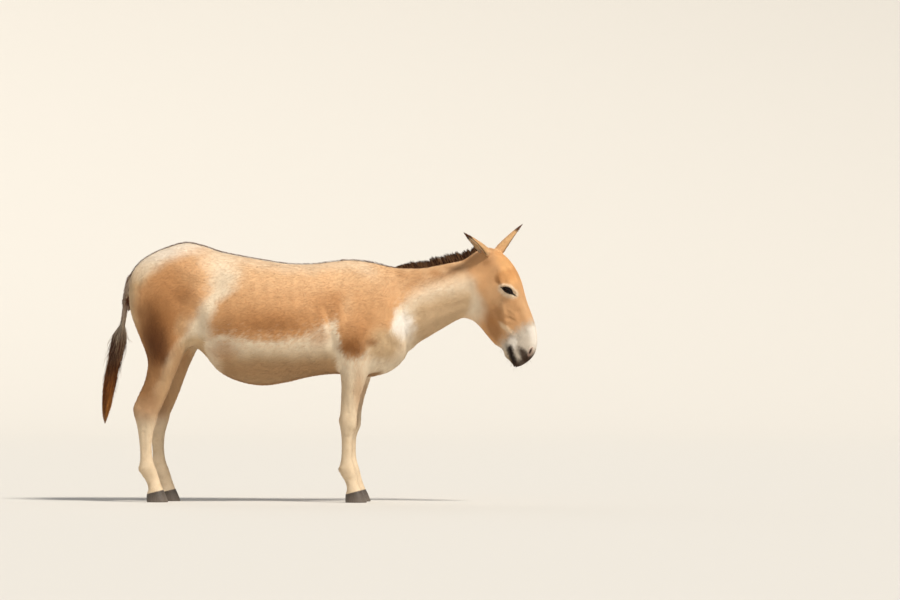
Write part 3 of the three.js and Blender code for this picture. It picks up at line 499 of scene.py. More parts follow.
PARTS["dock"] = leg(dock_table, [], [], 1, 0, 0)
head = PARTS["head"]
EYES = {name: head.world([[EYE_AT[0], EYE_AT[1], side * EYE_AT[2]]])[0] for name, side in SIDES.items()}


def apart(points, fine=False):
    """Each part's own distance, as rows."""
    return np.stack([part.distance(points, fine) for part in PARTS.values()])


def joined(distances):
    """The body's distance: every part blended in with its own fillet."""
    whole = distances[0]
    for name, distance in zip(list(PARTS)[1:], distances[1:]):
        whole = blended(whole, distance, BLEND[name.split("_")[0]])
    return whole


def body(points, fine=False):
    return joined(apart(points, fine))


# The solids stand in the shared frame, and an eye's ball says where: the shift from her frame to it.
eye_low, eye_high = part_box("eye_right")
SHIFT = np.array((eye_low + eye_high) / 2) - EYES["right"] / 1000


def metres(points):
    return np.asarray(points) / 1000 + SHIFT


print("shift to the frame, m:", SHIFT.round(5))
print("the field at her shoulder, mm:", body(np.array([[200, -150, 900]])))

# %% [markdown]
# ## One skin
# On the animal one skin runs from the nose to the hooves, so the model has one too, with no seam. It could
# be sewn from tubes by hand. Here each part is first cast as a grid (rays leave the part's middle line and
# stop at the field), then a voxel remesh melts the grids into one net of even squares, and each point of
# the net is slid along its normal until the field says it lies a coat's depth inside. The face and the
# feet are cut finer before that, because their forms are small.

# %% Casting a part
def turns(count):
    """Even angles round a circle, in radians."""
    return 2 * np.pi * np.arange(count) / count


RAY_STEP, HALVINGS = 14, 8


def shoot(start, way, part, margin, inset=0.0):
    """Where rays leave the body: in steps outwards, then by halving. A ray stops where the body's field
    reaches -inset, or margin millimetres outside its own part."""
    shape = start.shape
    start, way = start.reshape(-1, 3), way.reshape(-1, 3)

    def outside(which, reach):
        p = start[which] + way[which] * reach[:, None]
        return np.maximum(body(p) + inset, part.distance(p) - margin) > 0

    far, going = np.full(len(way), float(RAY_STEP)), np.arange(len(way))
    while len(going):
        going = going[~outside(going, far[going])]
        far[going] += RAY_STEP
    near, every = far - RAY_STEP, np.arange(len(way))
    for _ in range(HALVINGS):
        half = (near + far) / 2
        out = outside(every, half)
        near, far = np.where(out, near, half), np.where(out, half, far)
    return (start + way * near[:, None]).reshape(shape)


def cast(part, places, tilts, columns, margin, middle=None):
    """A grid of points. Its two parameters are the row (a place on the part's axis, with a tilt of the rays
    along it) and the turn round the axis."""
    turn = turns(columns)
    origin = (middle or part.middle)(np.asarray(places, float))
    across = np.cos(turn)[:, None] * part.out + np.sin(turn)[:, None] * part.up
    tilt = np.radians(np.asarray(tilts, float))[:, None, None]
    way = np.cos(tilt) * across + np.sin(tilt) * part.along
    return shoot(np.broadcast_to(origin[:, None], way.shape), way, part, margin)


def fanned(first, last, rows, start=0, end=0):
    """Even places from first to last, with a fan of tilted rows at a rounded end."""
    places = [first] * start + list(np.linspace(first, last, rows)) + [last] * end
    opening, closing = np.linspace(-90, 0, start, endpoint=False), np.linspace(90, 0, end, endpoint=False)
    return places, [*opening, *[0] * rows, *closing[::-1]]


# %% From grids to a mesh
def grid_faces(rows, columns, first=0, flip=False):
    """Squares between neighbouring rows, closed round the columns, and a lid over each end."""
    i, j = np.meshgrid(np.arange(rows - 1), np.arange(columns), indexing="ij")
    a, b = i * columns + j, i * columns + (j + 1) % columns
    quads = np.stack([a, b, b + columns, a + columns], axis=-1).reshape(-1, 4) + first
    lids = [np.arange(columns)[::-1] + first, np.arange(columns) + (rows - 1) * columns + first]
    faces = quads.tolist() + [lid.tolist() for lid in lids]
    return [face[::-1] for face in faces] if flip else faces


def in_scene(name, data):
    """A new object of the scene, with the given mesh, light or camera."""
    piece = bpy.data.objects.new(name, data)
    bpy.context.scene.collection.objects.link(piece)
    return piece


def shaded_smooth(mesh):
    mesh.polygons.foreach_set("use_smooth", np.ones(len(mesh.polygons), bool))


def new_piece(name, points, faces):
    """A mesh object at the origin, from points in millimetres of her own frame, shaded smooth."""
    mesh = bpy.data.meshes.new(name)
    mesh.from_pydata(metres(points).tolist(), [], faces)
    shaded_smooth(mesh)
    mesh.update()
    return in_scene(name, mesh)


def joined_grids(grids):
    """The points and faces of several closed grids as one list."""
    points, faces, first = [], [], 0
    for grid in grids:
        points.append(grid.reshape(-1, 3))
        faces += grid_faces(*grid.shape[:2], first)
        first += grid.shape[0] * grid.shape[1]
    return np.concatenate(points), faces


def applied(piece):
    """Takes the piece's modifiers into its mesh."""
    evaluated = piece.evaluated_get(bpy.context.evaluated_depsgraph_get())
    mesh = bpy.data.meshes.new_from_object(evaluated)
    piece.modifiers.clear()
    piece.data = mesh
    mesh.name = piece.name


# %% Grids of every part
SPINE_LEVEL = (860, 1010)  # the trunk's rays leave from a line between these heights


def spine(x):
    level = np.clip(PARTS["trunk"].middle(x)[:, 2], *SPINE_LEVEL)
    return np.stack([x, 0 * x, level], axis=1)


# For each: the first and last place, the rows and those of the fans, then the columns and the margin.
grids = [
    cast(PARTS["trunk"], *fanned(-912, 390, 44, 6, 4), 48, 45, middle=spine),
    cast(PARTS["neck"], *fanned(20, 600, 22), 36, 60),
    cast(head, *fanned(0, 545, 30, 5, 5), 36, 45),
    cast(PARTS["dock"], *fanned(850, 1150, 16), 16, 18),
]
for name in SIDES:
    grids.append(cast(PARTS["foreleg_" + name], *fanned(44, 700, 36), 20, 30))
    grids.append(cast(PARTS["hindleg_" + name], *fanned(44, 960, 44), 20, 40))
VOXEL = 0.0112  # m, the squares of the first net
skin = new_piece("skin", *joined_grids(grids))
melt = skin.modifiers.new("melt", "REMESH")
melt.mode, melt.voxel_size, melt.use_smooth_shade = "VOXEL", VOXEL, True
applied(skin)
print("first net:", len(skin.data.vertices), "points")

# %% [markdown]
# ## Sliding the net on to the field
# A remeshed surface is stepped, like stacked bricks. Two things cure it, turn and turn about: each point
# moves towards the mean of its neighbours, and then along its normal by what the field says is missing.
# The coat's depth is deepest on the barrel and thin on the face and below the knee, as on a summer coat.

# %% Depth of the coat, and the eyeballs' bulge
FORE_TOE, HIND_TOE = 218, -776  # X of the front of each hoof's upper edge
CORONET, CORONET_SLOPE = 62, 0.258  # the hoof's height at the toe, and how its upper edge sinks to the heel


def coronet(x, y):
    """The height of a hoof's upper edge at a place of the plan."""
    toe = np.where(x > 0, FORE_TOE, HIND_TOE + HIND_LEFT_LEAN * (y > 0))
    return CORONET + CORONET_SLOPE * (x - toe)


# The coat in millimetres: on the barrel, how much thinner on face and feet and again on the muzzle, and how
# far the skin lies inside the hoof.
DEEPEST, THINNER, MUZZLE_THINNER, IN_HOOF = 3.4, 1.9, 0.6, 7


def coat_depth(points):
    """Millimetres from the skin to the outside of the coat."""
    along = head.local(points)[:, 0]
    near_head = fade(head.distance(points), 90, 30)
    leg_share = fade(points[:, 2], 640, 420)
    face = fade(along, -20, 120) * near_head
    in_hoof = IN_HOOF * fade(points[:, 2] - coronet(points[:, 0], points[:, 1]), 2, -9)
    muzzle = MUZZLE_THINNER * fade(along, 380, 480) * near_head
    return DEEPEST - THINNER * np.maximum(face, leg_share) - muzzle + in_hoof


def skin_field(points):
    """Zero on the bare skin: the body with its fine marks, less the coat, with the lids over the eyeballs."""
    value = body(points, fine=True) + coat_depth(points)
    for eye in EYES.values():
        ball = np.linalg.norm(points - eye, axis=1) - (EYE_RADIUS + LID - 0.6)
        value = blended(value, ball, 9)
    return value


# %% Relaxing and settling
def numbers(items, key, width, kind=float):
    """One property of all the items of a mesh, as an array of so many columns."""
    flat = np.empty(len(items) * width, kind)
    items.foreach_get(key, flat)
    return flat.reshape(-1, width)


def places_of(mesh):
    return (numbers(mesh.vertices, "co", 3) - SHIFT) * 1000


def put(mesh, points):
    mesh.vertices.foreach_set("co", metres(points).ravel())
    mesh.update()


def normals_of(mesh):
    return numbers(mesh.vertex_normals, "vector", 3)


def edges_of(mesh):
    return numbers(mesh.edges, "vertices", 2, int)


def relaxed(points, edges, share):
    """Each point moved by a share of the way to the mean of its neighbours."""
    a, b = edges.T
    count = np.bincount(edges.ravel(), minlength=len(points))
    size = len(points)
    total = [np.bincount(a, points[b, k], size) + np.bincount(b, points[a, k], size) for k in range(3)]
    mean = np.stack(total, axis=1) / count[:, None]
    return points + np.asarray(share).reshape(-1, 1) * (mean - points)


def slid(points, normals):
    """Points moved along their normals to where the skin's field is zero: value over slope, at most 9 mm."""
    value = skin_field(points)
    slope = np.maximum(skin_field(points + normals) - value, 0.5)
    return points - normals * np.clip(value / slope, -9, 9)[:, None]


def settle(mesh, rounds, smooth, which=slice(None)):
    """Turn and turn about: relax the points, then slide them along their normals on to the skin's field."""
    edges = edges_of(mesh)
    for _ in range(rounds):
        points = places_of(mesh)
        moved = points.copy()
        moved[which] = relaxed(points, edges, smooth)[which] if smooth else points[which]
        put(mesh, moved)
        moved[which] = slid(moved[which], normals_of(mesh)[which])
        put(mesh, moved)
    return np.abs(skin_field(places_of(mesh)[which])).mean()


print("off the field, mm:", round(settle(skin.data, 6, 0.6), 3))
settle(skin.data, 2, 0.0)

# %% Cutting the face and the feet finer
def rim_height(a, b, feature):
    """How far a slit's rim lies above or below its middle: a parabola over its length."""
    return np.where(b > 0, feature["upper"], feature["lower"]) * (1 - (a / feature["half"]) ** 2)


def slit_place(local, feature):
    """Along, across and outwards from a slit's middle, turned with it on the side of the head, and how far
    outside its rim a place is, in millimetres: below zero is in the opening."""
    u, v, w = local.T
    u, v = u - feature["at"][0], v - feature["at"][1]
    c, s = cosine_and_sine(feature["turn"])
    a, b = c * u + s * v, c * v - s * u
    past_rim, past_corner = np.abs(b) - rim_height(a, b, feature), np.hypot(np.abs(a) - feature["half"], b)
    return a, b, np.abs(w), np.where(np.abs(a) < feature["half"], past_rim, past_corner)


def slit_point(a, b, feature):
    """The other way round: from a place in a slit to one along the head and up it."""
    c, s = cosine_and_sine(feature["turn"])
    return feature["at"][0] + c * a - s * b, feature["at"][1] + s * a + c * b


# Each slit: middle along the head and up it, turn in degrees, half length, heights, least distance outwards.
EYE_SLIT = {"at": (216, 54), "turn": 41, "half": 27, "upper": 9, "lower": 6.5, "out": 45}
NOSTRIL = {"at": (535, 44), "turn": -47, "half": 23, "upper": 6, "lower": 5, "out": 15}
MOUTH = {"from": (478, -44), "to": (590, -62)}


def mouth_place(local):
    """Along the mouth from its corner, across it, and the mouth's length."""
    start, end = np.array(MOUTH["from"], float), np.array(MOUTH["to"], float)
    line = (end - start) / np.linalg.norm(end - start)
    d = local[:, :2] - start
    return d @ line, d[:, 1] * line[0] - d[:, 0] * line[1], np.linalg.norm(end - start)


def nearest(points):
    """The index of the part that each point belongs to."""
    return apart(points).argmin(axis=0)


def on_head(points):
    return head.distance(points) < 14


def zone_head(points):
    feet = points[:, 2] < 500
    return feet | (on_head(points) & (head.local(points)[:, 0] > -30))


def zone_features(points):
    local = head.local(points)
    a, b, w, _ = slit_place(local, EYE_SLIT)
    eye = (np.abs(a) < 62) & (np.abs(b) < 46) & (w > 45)
    return on_head(points) & (eye | (local[:, 0] > 440))


def zone_rims(points):
    local = head.local(points)
    _, _, w, past_eye = slit_place(local, EYE_SLIT)
    past_nostril = slit_place(local, NOSTRIL)[3]
    eye, nostril = (past_eye < 9) & (w > 60), (past_nostril < 6) & (w > 12)
    along, across, length = mouth_place(local)
    mouth = (along > -12) & (along < length + 40) & (np.abs(across) < 6)
    return on_head(points) & (eye | nostril | mouth)


def refined(piece, zone):
    """Cuts the squares in a zone in four, and settles the new points."""
    mesh = piece.data
    chosen = zone((numbers(mesh.polygons, "center", 3) - SHIFT) * 1000)
    net = bmesh.new()
    net.from_mesh(mesh)
    net.faces.ensure_lookup_table()
    edges = {edge for n in np.flatnonzero(chosen) for edge in net.faces[n].edges}
    bmesh.ops.subdivide_edges(net, edges=list(edges), cuts=1, use_grid_fill=True, use_single_edge=True)
    net.to_mesh(mesh)
    net.free()
    inside = np.flatnonzero(zone(places_of(mesh)))
    settle(mesh, 3, 0.4, inside)
    print(piece.name, "now has", len(mesh.vertices), "points")


for zone in (zone_head, zone_features, zone_rims):
    refined(skin, zone)

# %% [markdown]
# ## Eyelids, nostrils and mouth
# These are openings in the skin, with a rim of real thickness. They could be cut with a boolean, but that
# leaves ragged slivers. Instead the nearest points of the net are drawn on to the rim's curve, those inside
# it sink (behind the eyeball, or down the nostril), and the folds round it are raised by small formulas.

# %% Drawing the net on to a rim
def drawn_to_rim(points, normals, feature, reach=0.75):
    """Points within reach of the rim's curve go on to it. Returns the places and how far outside they are."""
    local = head.local(points)
    a, b, w, m = slit_place(local, feature)
    near = (np.abs(m) < reach) & (np.abs(a) < feature["half"] - 0.5) & (w > feature["out"])
    b = np.where(near, np.where(b > 0, 1, -1) * rim_height(a, b, feature), b)
    drawn = slit_point(a, b, feature)
    local[:, 0], local[:, 1] = np.where(near, drawn[0], local[:, 0]), np.where(near, drawn[1], local[:, 1])
    points = head.world(local)
    points[near] = slid(points[near], normals[near])
    return points, np.where(near, 0, m)


def bump(distance, centre, width):
    return np.exp(-(((distance - centre) / width) ** 2))


def shape_eyes(points, normals):
    points, m = drawn_to_rim(points, normals, EYE_SLIT)
    local = head.local(points)
    a, b, w, _ = slit_place(local, EYE_SLIT)
    by_eye = on_head(points) & (w > EYE_SLIT["out"]) & (np.abs(a) < 70) & (np.abs(b) < 50)
    inside = by_eye & (m < -0.2)
    u, v = local[:, 0] - EYE_AT[0], local[:, 1] - EYE_AT[1]
    back = EYE_AT[2] + np.sqrt(np.maximum((EYE_RADIUS - 2.2) ** 2 - u * u - v * v, 1))
    arch = 1 - (a / 46) ** 2
    upper, lower = fade(b, -2, 4) * fade(arch, 0, 0.4), fade(b, 2, -4) * fade(arch, 0.1, 0.5)
    lift = 1.3 * bump(m, 2.2, 2.6)  # the lid's own roll
    lift += upper * (2.8 * bump(b, 21 * arch + 5, 5.5) - 2.6 * bump(b, 15 * arch + 1, 2.4))
    for rise, high, width in ((-1.1, 14, 2), (-1.0, 21, 2.2), (1.2, 17.5, 2.5)):  # folds under the eye
        lift += lower * rise * bump(b, -high * arch - 1, width)
    lift -= 2.4 * bump(np.hypot(a - 33, b + 1.5), 0, 7)  # the front corner
    lift -= 1.6 * bump(np.hypot(a + 32, b), 0, 6)
    points[by_eye & ~inside] += (normals * lift[:, None])[by_eye & ~inside]
    local[inside, 2] = (np.sign(local[:, 2]) * back)[inside]
    points[inside] = head.world(local[inside])
    return points


def shape_nostrils(points, normals):
    points, m = drawn_to_rim(points, normals, NOSTRIL)
    a, b, w, _ = slit_place(head.local(points), NOSTRIL)
    here = on_head(points) & (w > 8) & (np.abs(a) < 50) & (np.abs(b) < 40)
    deep = np.clip(-m, 0, 6) / 6
    lift = np.where(m < -0.2, -(4 + 15 * deep**0.6), 2.2 * bump(m, 2.5, 3.2))
    lift -= 1.8 * np.where(m > 0, bump(b, -16, 5) * fade(np.abs(a), 30, 10), 0)
    points[here] += (normals * lift[:, None])[here]
    return points


def shape_mouth(points, normals):
    along, across, length = mouth_place(head.local(points))
    here = on_head(points) & (along > -20) & (along < length + 60) & (np.abs(across) < 16)
    open_share = fade(along, -6, 16)
    lift = -7.0 * bump(across, 0, 1.9) + 1.6 * bump(np.abs(across), 5, 3) - 0.9 * bump(np.abs(across), 12, 3)
    points[here] += (normals * (lift * open_share)[:, None])[here]
    return points


def triangles_in(mesh):
    return sum(len(face.vertices) - 2 for face in mesh.polygons)


for shape in (shape_eyes, shape_nostrils, shape_mouth):
    put(skin.data, shape(places_of(skin.data), normals_of(skin.data)))
print("face shaped;", triangles_in(skin.data), "triangles in the skin")


# %% [markdown]
# ## Ears
# An onager's ear is a leaf rolled into a cup, with a wall of skin and gristle a few millimetres thick. Its
# two parameters are the height and the turn round the ear's own axis. The outer and the inner side are one
# closed grid, which a boolean joins to the skin; relaxing the points near the join makes it one surface.

# %% The shape of an ear
class Ear:
    """At each height t an arc of a circle round the ear's axis, open towards its front. Its half width
    follows (0.9 + 0.35 t)(1 - t^2.1)^0.8, and the arc opens out as it rises."""

    def __init__(self, root, tip, facing):
        self.root, self.tip = np.array(root, float), np.array(tip, float)
        self.length = np.linalg.norm(self.tip - self.root)
        self.axis = (self.tip - self.root) / self.length
        front = np.array(facing, float)
        front -= (front @ self.axis) * self.axis
        self.front = front / np.linalg.norm(front)
        self.side = np.cross(self.axis, self.front)

    def arc(self, t):
        """Radius of the arc, half its angle, and how far its centre lies in front of the axis."""
        width = EAR_HALF_WIDTH * (0.9 + 0.35 * t) * np.maximum(1 - t**2.1, 0.03) ** 0.8
        opening = 2.7 + (0.95 - 2.7) * t**0.6
        radius = width / np.sin(np.minimum(opening, np.pi / 2))
        return radius, opening, radius * (1 + np.cos(opening)) / 2 - EAR_BOW * np.sin(np.pi * t)

    def at(self, t, share, depth):
        """The point at height t, at a share (-1 to 1) of the arc, and so many millimetres inside it."""
        radius, opening, bend = self.arc(t)
        angle, r = share * opening, radius - depth
        front, side = bend - r * np.cos(angle), r * np.sin(angle)
        up = self.root + (t * self.length)[..., None] * self.axis
        return up + front[..., None] * self.front + side[..., None] * self.side

    def shell(self, rows, columns, thickness):
        """A closed grid: round the outside of the arc from one edge to the other and back inside it."""
        t = np.linspace(0.0, 0.995, rows)[:, None]
        share = np.linspace(-1, 1, columns)[None]
        thick = np.minimum(thickness, self.arc(t)[0] * 0.45)
        rounded = 1 - 0.8 * np.abs(share) ** 8  # the edges are thinner than the middle
        outer = self.at(t + 0 * share, share + 0 * t, 0.7 + (1 - rounded) * thick / 2)
        inner = self.at(t + 0 * share, share + 0 * t, 0.7 + thick * (1 + rounded) / 2)
        return np.concatenate([outer, inner[:, ::-1]], axis=1)


EARS = {
    "right": Ear(head.world([[8, 20, -44]])[0], (729, -128, 1343), (-0.6, -0.5, -0.6)),
    "left": Ear(head.world([[8, 52, 40]])[0], (1009, 84, 1394), (0.8, 0.25, -0.55)),
}

# %% Ears joined to the skin
for name, ear in EARS.items():
    shell = ear.shell(44, 21, EAR_WALL)
    piece = new_piece("ear_shell_" + name, shell.reshape(-1, 3), grid_faces(*shell.shape[:2]))
    net = bmesh.new()
    net.from_mesh(piece.data)
    bmesh.ops.triangulate(net, faces=[face for face in net.faces if len(face.verts) > 4])
    bmesh.ops.recalc_face_normals(net, faces=net.faces)
    net.to_mesh(piece.data)
    net.free()
    union = skin.modifiers.new("ear", "BOOLEAN")
    union.operation, union.solver, union.object = "UNION", "EXACT", piece
    applied(skin)
    bpy.data.objects.remove(piece)
roots = np.stack([ear.root + 0.10 * ear.length * ear.axis for ear in EARS.values()])
points, edges = places_of(skin.data), edges_of(skin.data)
by_root = np.linalg.norm(points[:, None] - roots, axis=2).min(axis=1) < 62
join = fade(np.abs(skin_field(points)), 6, 1) * by_root
JOIN_ROUNDS = 8
for _ in range(JOIN_ROUNDS):
    points = relaxed(points, edges, 0.6 * join)
put(skin.data, points)
shaded_smooth(skin.data)
net = bmesh.new()
net.from_mesh(skin.data)
open_edges = sum(not edge.is_manifold for edge in net.edges)
net.free()
print("skin and ears:", triangles_in(skin.data), "triangles,", open_edges, "open edges")

# %% [markdown]
# ## Markings
# The coat's pattern is what tells an onager from a donkey: fawn above, cream below with a wedge of cream up
# the flank, a pale rump, a white muzzle and a thin dark stripe down the back edged with white. It could be
# painted as an image, but a function of place is sharper and has no seams. One function gives the colour at
# any point, and both the skin and every tuft of the coat ask it, so the two always agree.

# %% Colours
def colour(code):
    """An sRGB hex value as linear red, green and blue: c/12.92 below 0.04045, else ((c+0.055)/1.055)^2.4."""
    c = np.array([int(code[i : i + 2], 16) for i in (1, 3, 5)]) / 255
    return np.where(c <= 0.04045, c / 12.92, ((c + 0.055) / 1.055) ** 2.4)


FAWN, LIGHT_FAWN, RUFOUS = colour("#d6a473"), colour("#e2b98c"), colour("#b37d4c")
BROWN, CREAM, WHITE = colour("#8a572b"), colour("#ecd9bd"), colour("#f3eade")
UMBER, GREY_WHITE, DOCK_GREY = colour("#4c2206"), colour("#c9bcab"), colour("#c2ad9b")
OCHRE, STRIPE, BLACKISH = colour("#e6b074"), colour("#5a3420"), colour("#251a15")
BARE, PINK, SAND = colour("#1f1612"), colour("#c79d8b"), colour("#d2b58d")
NOSE_BROWN, PALE_INSIDE, EAR_TAN = colour("#351f10"), colour("#f6d3a2"), colour("#d9ae78")
TAWNY, IRIS_DARK, IRIS_BROWN = colour("#bd7c3e"), colour("#2a1508"), colour("#5a3218")
PUPIL_BLACK, EYE_RING = colour("#060403"), colour("#140b07")
# The first of these is the deep tan of painted shade under the belly.
BELLY_SHADE_TAN, MOUSE_GREY, EEL_BROWN = colour("#8a520c"), colour("#85756a"), colour("#653821")


def wobble(points, length):
    """A smooth random-looking number from -1 to 1 that changes over `length` millimetres: sines of sines."""
    x, y, z = (points * (2 * np.pi / length)).T
    first = np.sin(x + 1.7 * np.sin(0.61 * z + 0.4)) + np.sin(z * 1.13 + 1.3 * np.sin(0.83 * x + 2.1))
    return (first + np.sin(y * 0.9 + x * 0.57 + 1.1 * np.sin(z * 0.71))) / 3


def plain(tone, points):
    return np.tile(tone, (len(points), 1))


def painted(under, over, mask):
    return under + (over - under) * np.clip(mask, 0, 1)[:, None]


def layered(under, *layers):
    """Layers of (tone, mask), each painted over those before it."""
    for tone, mask in layers:
        under = painted(under, tone, mask)
    return under


def blob(x, z, at, size, outer=1.25, inner=0.45, rough=0):
    """1 at a point of her side view, falling to 0 outside an ellipse. The fall lies between `inner` and
    `outer` times its size, and `rough` makes its edge uneven."""
    return fade(np.hypot((x - at[0]) / size[0], (z - at[1]) / size[1]) + rough, outer, inner)


# Where fawn gives way to cream, seen from the side: X, Z.
UNDERLINE = np.array([
    (-700, 790), (-553, 806), (-501, 836), (-435, 828), (-374, 816), (-224, 802), (-76, 818), (-18, 848),
    (45, 886), (106, 904), (122, 830), (134, 752), (165, 722), (214, 736), (273, 782), (336, 826), (366, 870),
    (380, 935), (409, 992), (484, 1045), (530, 1075), (640, 1110), (715, 1122), (800, 1128),
])
THIGH_TOP = np.array([
    (-897, 1060), (-885, 1085), (-842, 1134), (-768, 1196), (-695, 1235), (-595, 1262), (-430, 1300),
])
# The same by height, Z first: the pale edge of the rump, the front of the thigh, the wedge and its half
# width.
REAR_LINE = np.array([
    (700, -930), (885, -908), (1010, -915), (1110, -893), (1180, -862), (1260, -812), (1330, -700),
])
THIGH_FRONT = np.array([
    (510, -846), (620, -792), (735, -738), (819, -690), (859, -652), (933, -632), (1007, -606), (1057, -580),
    (1131, -560),
])
WEDGE = np.array([
    (760, -588, 75), (833, -572, 50), (908, -562, 44), (982, -534, 48), (1057, -470, 66), (1131, -456, 82),
    (1197, -486, 92), (1250, -512, 95),
])
TOP_LINE = np.array(TRUNK)[:, :2]
STRIPE_WIDTH = np.array([(-960, 15), (-860, 15), (-680, 13), (-480, 10), (-100, 8), (150, 7), (420, 6)])
# Soft patches over the fawn: colour, strength, X and Z of the middle, half lengths.
PATCHES = [
    (RUFOUS, 0.85, (-225, 885), (330, 88)),  # lower flank
    (BROWN, 0.22, (-440, 862), (85, 45)),
    (BROWN, 0.30, (-200, 880), (130, 40)),
    # painted shade deepens the hollow behind the shoulder, over its darker hair
    (BROWN, 0.42, (104, 975), (26, 85)),  # hollow behind the shoulder
    (RUFOUS, 0.55, (60, 985), (90, 80)),
    (RUFOUS, 0.60, (240, 880), (75, 90)),  # shoulder
    (LIGHT_FAWN, 0.5, (160, 990), (24, 60)),
    (RUFOUS, 0.85, (-760, 960), (150, 240)),  # thigh
    (BROWN, 0.70, (-800, 850), (110, 190)),
    (UMBER, 0.74, (-808, 775), (72, 150)),
    (UMBER, 0.60, (-775, 718), (60, 75)),
    (UMBER, 0.35, (-838, 900), (60, 130)),
    (UMBER, 0.25, (-720, 712), (50, 50)),
    (BROWN, 0.50, (-655, 1040), (66, 55)),
    (RUFOUS, 0.40, (-710, 1095), (90, 80)),
    (SAND, 0.35, (-668, 870), (40, 70)),
]

# %% The pattern of the body
def body_colour(points):
    """Fawn, then each marking, painted shade and painted highlight over it, from the large ones to the small.
    """
    x, y, z = points.T
    x = x + 8 * wobble(points, 120)
    z = z + 8 * wobble(points[:, [2, 0, 1]] + 40, 110)
    aside, hind = np.abs(y), x < -560
    below_back, over_line = np.interp(x, *TOP_LINE.T) - z, z - np.interp(x, *UNDERLINE.T)
    front, rough = np.interp(z, *THIGH_FRONT.T), 0.12 * wobble(points, 55)
    # Cream, with an edge that is sharpest under the middle and soft on the neck.
    soft = 1 + 2.2 * fade(x, 400, 480)
    soft += 0.8 * fade(np.abs(x + 260), 60, 240) + 7 / soft * wobble(points, 31)
    cream = fade(over_line / np.maximum(soft, 0.5), 17, -21)
    before_thigh = fade(x - front, -22, 44) * fade(z, 980, 880)
    inner = fade(aside, 75, 40) * fade(z, 900, 840)
    cream = np.where(hind, np.maximum.reduce([before_thigh, fade(z, 560, 460), inner]), cream)
    cream = np.where((x > -60) & (x < 300) & (aside < 150), np.maximum(cream, fade(z, 742, 706)), cream)
    middle, half = np.interp(z, *WEDGE[:, :2].T), np.interp(z, *WEDGE[:, [0, 2]].T)
    wedge = fade(np.abs(x - middle) / half + rough, 1.55, 0.15) * (z > 700)
    wedge = wedge * np.interp(z, (1120, 1200, 1270, 1310), (1, 0.8, 0.45, 0))
    rear = fade(x - np.interp(z, *REAR_LINE.T), 34, -34) * fade(z, 780, 900)
    croup = fade(z - np.interp(x, *THIGH_TOP.T), -52, 56) * fade(x, -500, -640) * fade(z, 1040, 1100)
    # The pale rump: cream above, and sand lower down as painted shade on the buttock.
    rump = painted(plain(SAND, points), CREAM, fade(z, 1080, 1180))
    outer_leg = fade(aside, 60, 80) * fade(x, 80, 110)
    # Painted shade under the belly: sand, and a deep warm tan towards the bottom.
    belly = fade(z, 800, 690) * fade(x, -540, -440) * fade(x, 340, 280) * (1 - outer_leg)
    chest = blob(x, z, (330, 785), (100, 85), 1.3, 0.4)
    throat = fade(over_line, -20, -120) * fade(x, 430, 520)
    outside = fade(aside, 95, 125)
    return layered(
        plain(FAWN, points),
        # painted highlight: lighter over the upper body and along the top of the back
        (LIGHT_FAWN, 0.9 * fade(z, 980, 1160) * fade(x, -800, -400)),
        (CREAM, 0.5 * fade(below_back, 78, 12) * fade(x, 330, 230) * fade(x, -560, -500)),
        *((tone, strength * blob(x, z, at, size, 1.45, 0.15)) for tone, strength, at, size in PATCHES),
        (CREAM, cream),
        # painted shade on the inner side of the hind legs, warm rufous over their cream
        (RUFOUS, 0.45 * inner * hind * fade(z, 480, 620)),
        (CREAM, 0.95 * wedge),
        (rump, 0.9 * np.maximum(rear, croup)),
        (WHITE, 0.5 * croup * fade(z, 1170, 1250)),
        # painted shade under the belly
        (SAND, 0.9 * belly),
        (BELLY_SHADE_TAN, 0.66 * belly * fade(z, 800, 640)),
        # painted shade on the front of the chest, sand and a little rufous over its cream
        (SAND, 0.9 * chest),
        (RUFOUS, 0.15 * chest),
        (SAND, 0.4 * fade(z, 720, 560) * fade(aside, 60, 90)),  # outside of the legs
        # painted shade under the neck, sand and a little rufous over its cream
        (SAND, 0.85 * throat),
        (RUFOUS, 0.22 * throat),
        (WHITE, blob(x, z, (426, 884), (58, 70), 1.4, 0.3, 1.6 * rough) * fade(x, 350, 388)),
        (RUFOUS, 0.7 * blob(x, z, (190, 805), (95, 85), 1.4, 0.3) * outside * (1 - cream)),
        # dark brown over the elbow, partly painted shadow under the triceps
        (BROWN, 0.85 * blob(x, z, (178, 776), (62, 54), 1.5, 0.2, rough) * outside),  # over the elbow
        (BROWN, 0.6 * blob(x, z, (280, 800), (30, 24), 1.4, 0.2, rough) * fade(aside, 70, 100)),
        (RUFOUS, 0.35 * blob(x, z, (205, 560), (30, 140), 1.2, 0.3)),  # forearm
        (BROWN, 0.35 * fade(z, 480, 600) * fade(z, 800, 700) * fade(x - front, 0, -50) * hind),
        # painted shade on the hind leg: sand on the gaskin's front, rufous lower down and before the stifle
        (SAND, 0.9 * fade(z, 400, 520) * fade(z, 860, 800) * hind * cream),  # front of the gaskin
        (RUFOUS, 0.45 * fade(z, 360, 470) * fade(z, 740, 660) * hind),
        (RUFOUS, 0.5 * blob(x, z, (-700, 745), (42, 75), 1.45, 0.3)),  # before the stifle
        # painted shade low on the flank and in the hollow behind the elbow
        (RUFOUS, 0.5 * blob(x, z, (-455, 752), (75, 55), 1.45, 0.3)),  # flank
        (RUFOUS, 0.5 * blob(x, z, (17, 826), (50, 52), 1.45, 0.3)),  # behind the elbow
        # painted shade on the hock
        (BROWN, 0.42 * blob(x, z, (-855, 505), (75, 115), 1.4, 0.3)),  # hock
        (SAND, 0.35 * fade(wobble(points, 47), 0.2, 0.9) * fade(z, 560, 300)),
    )


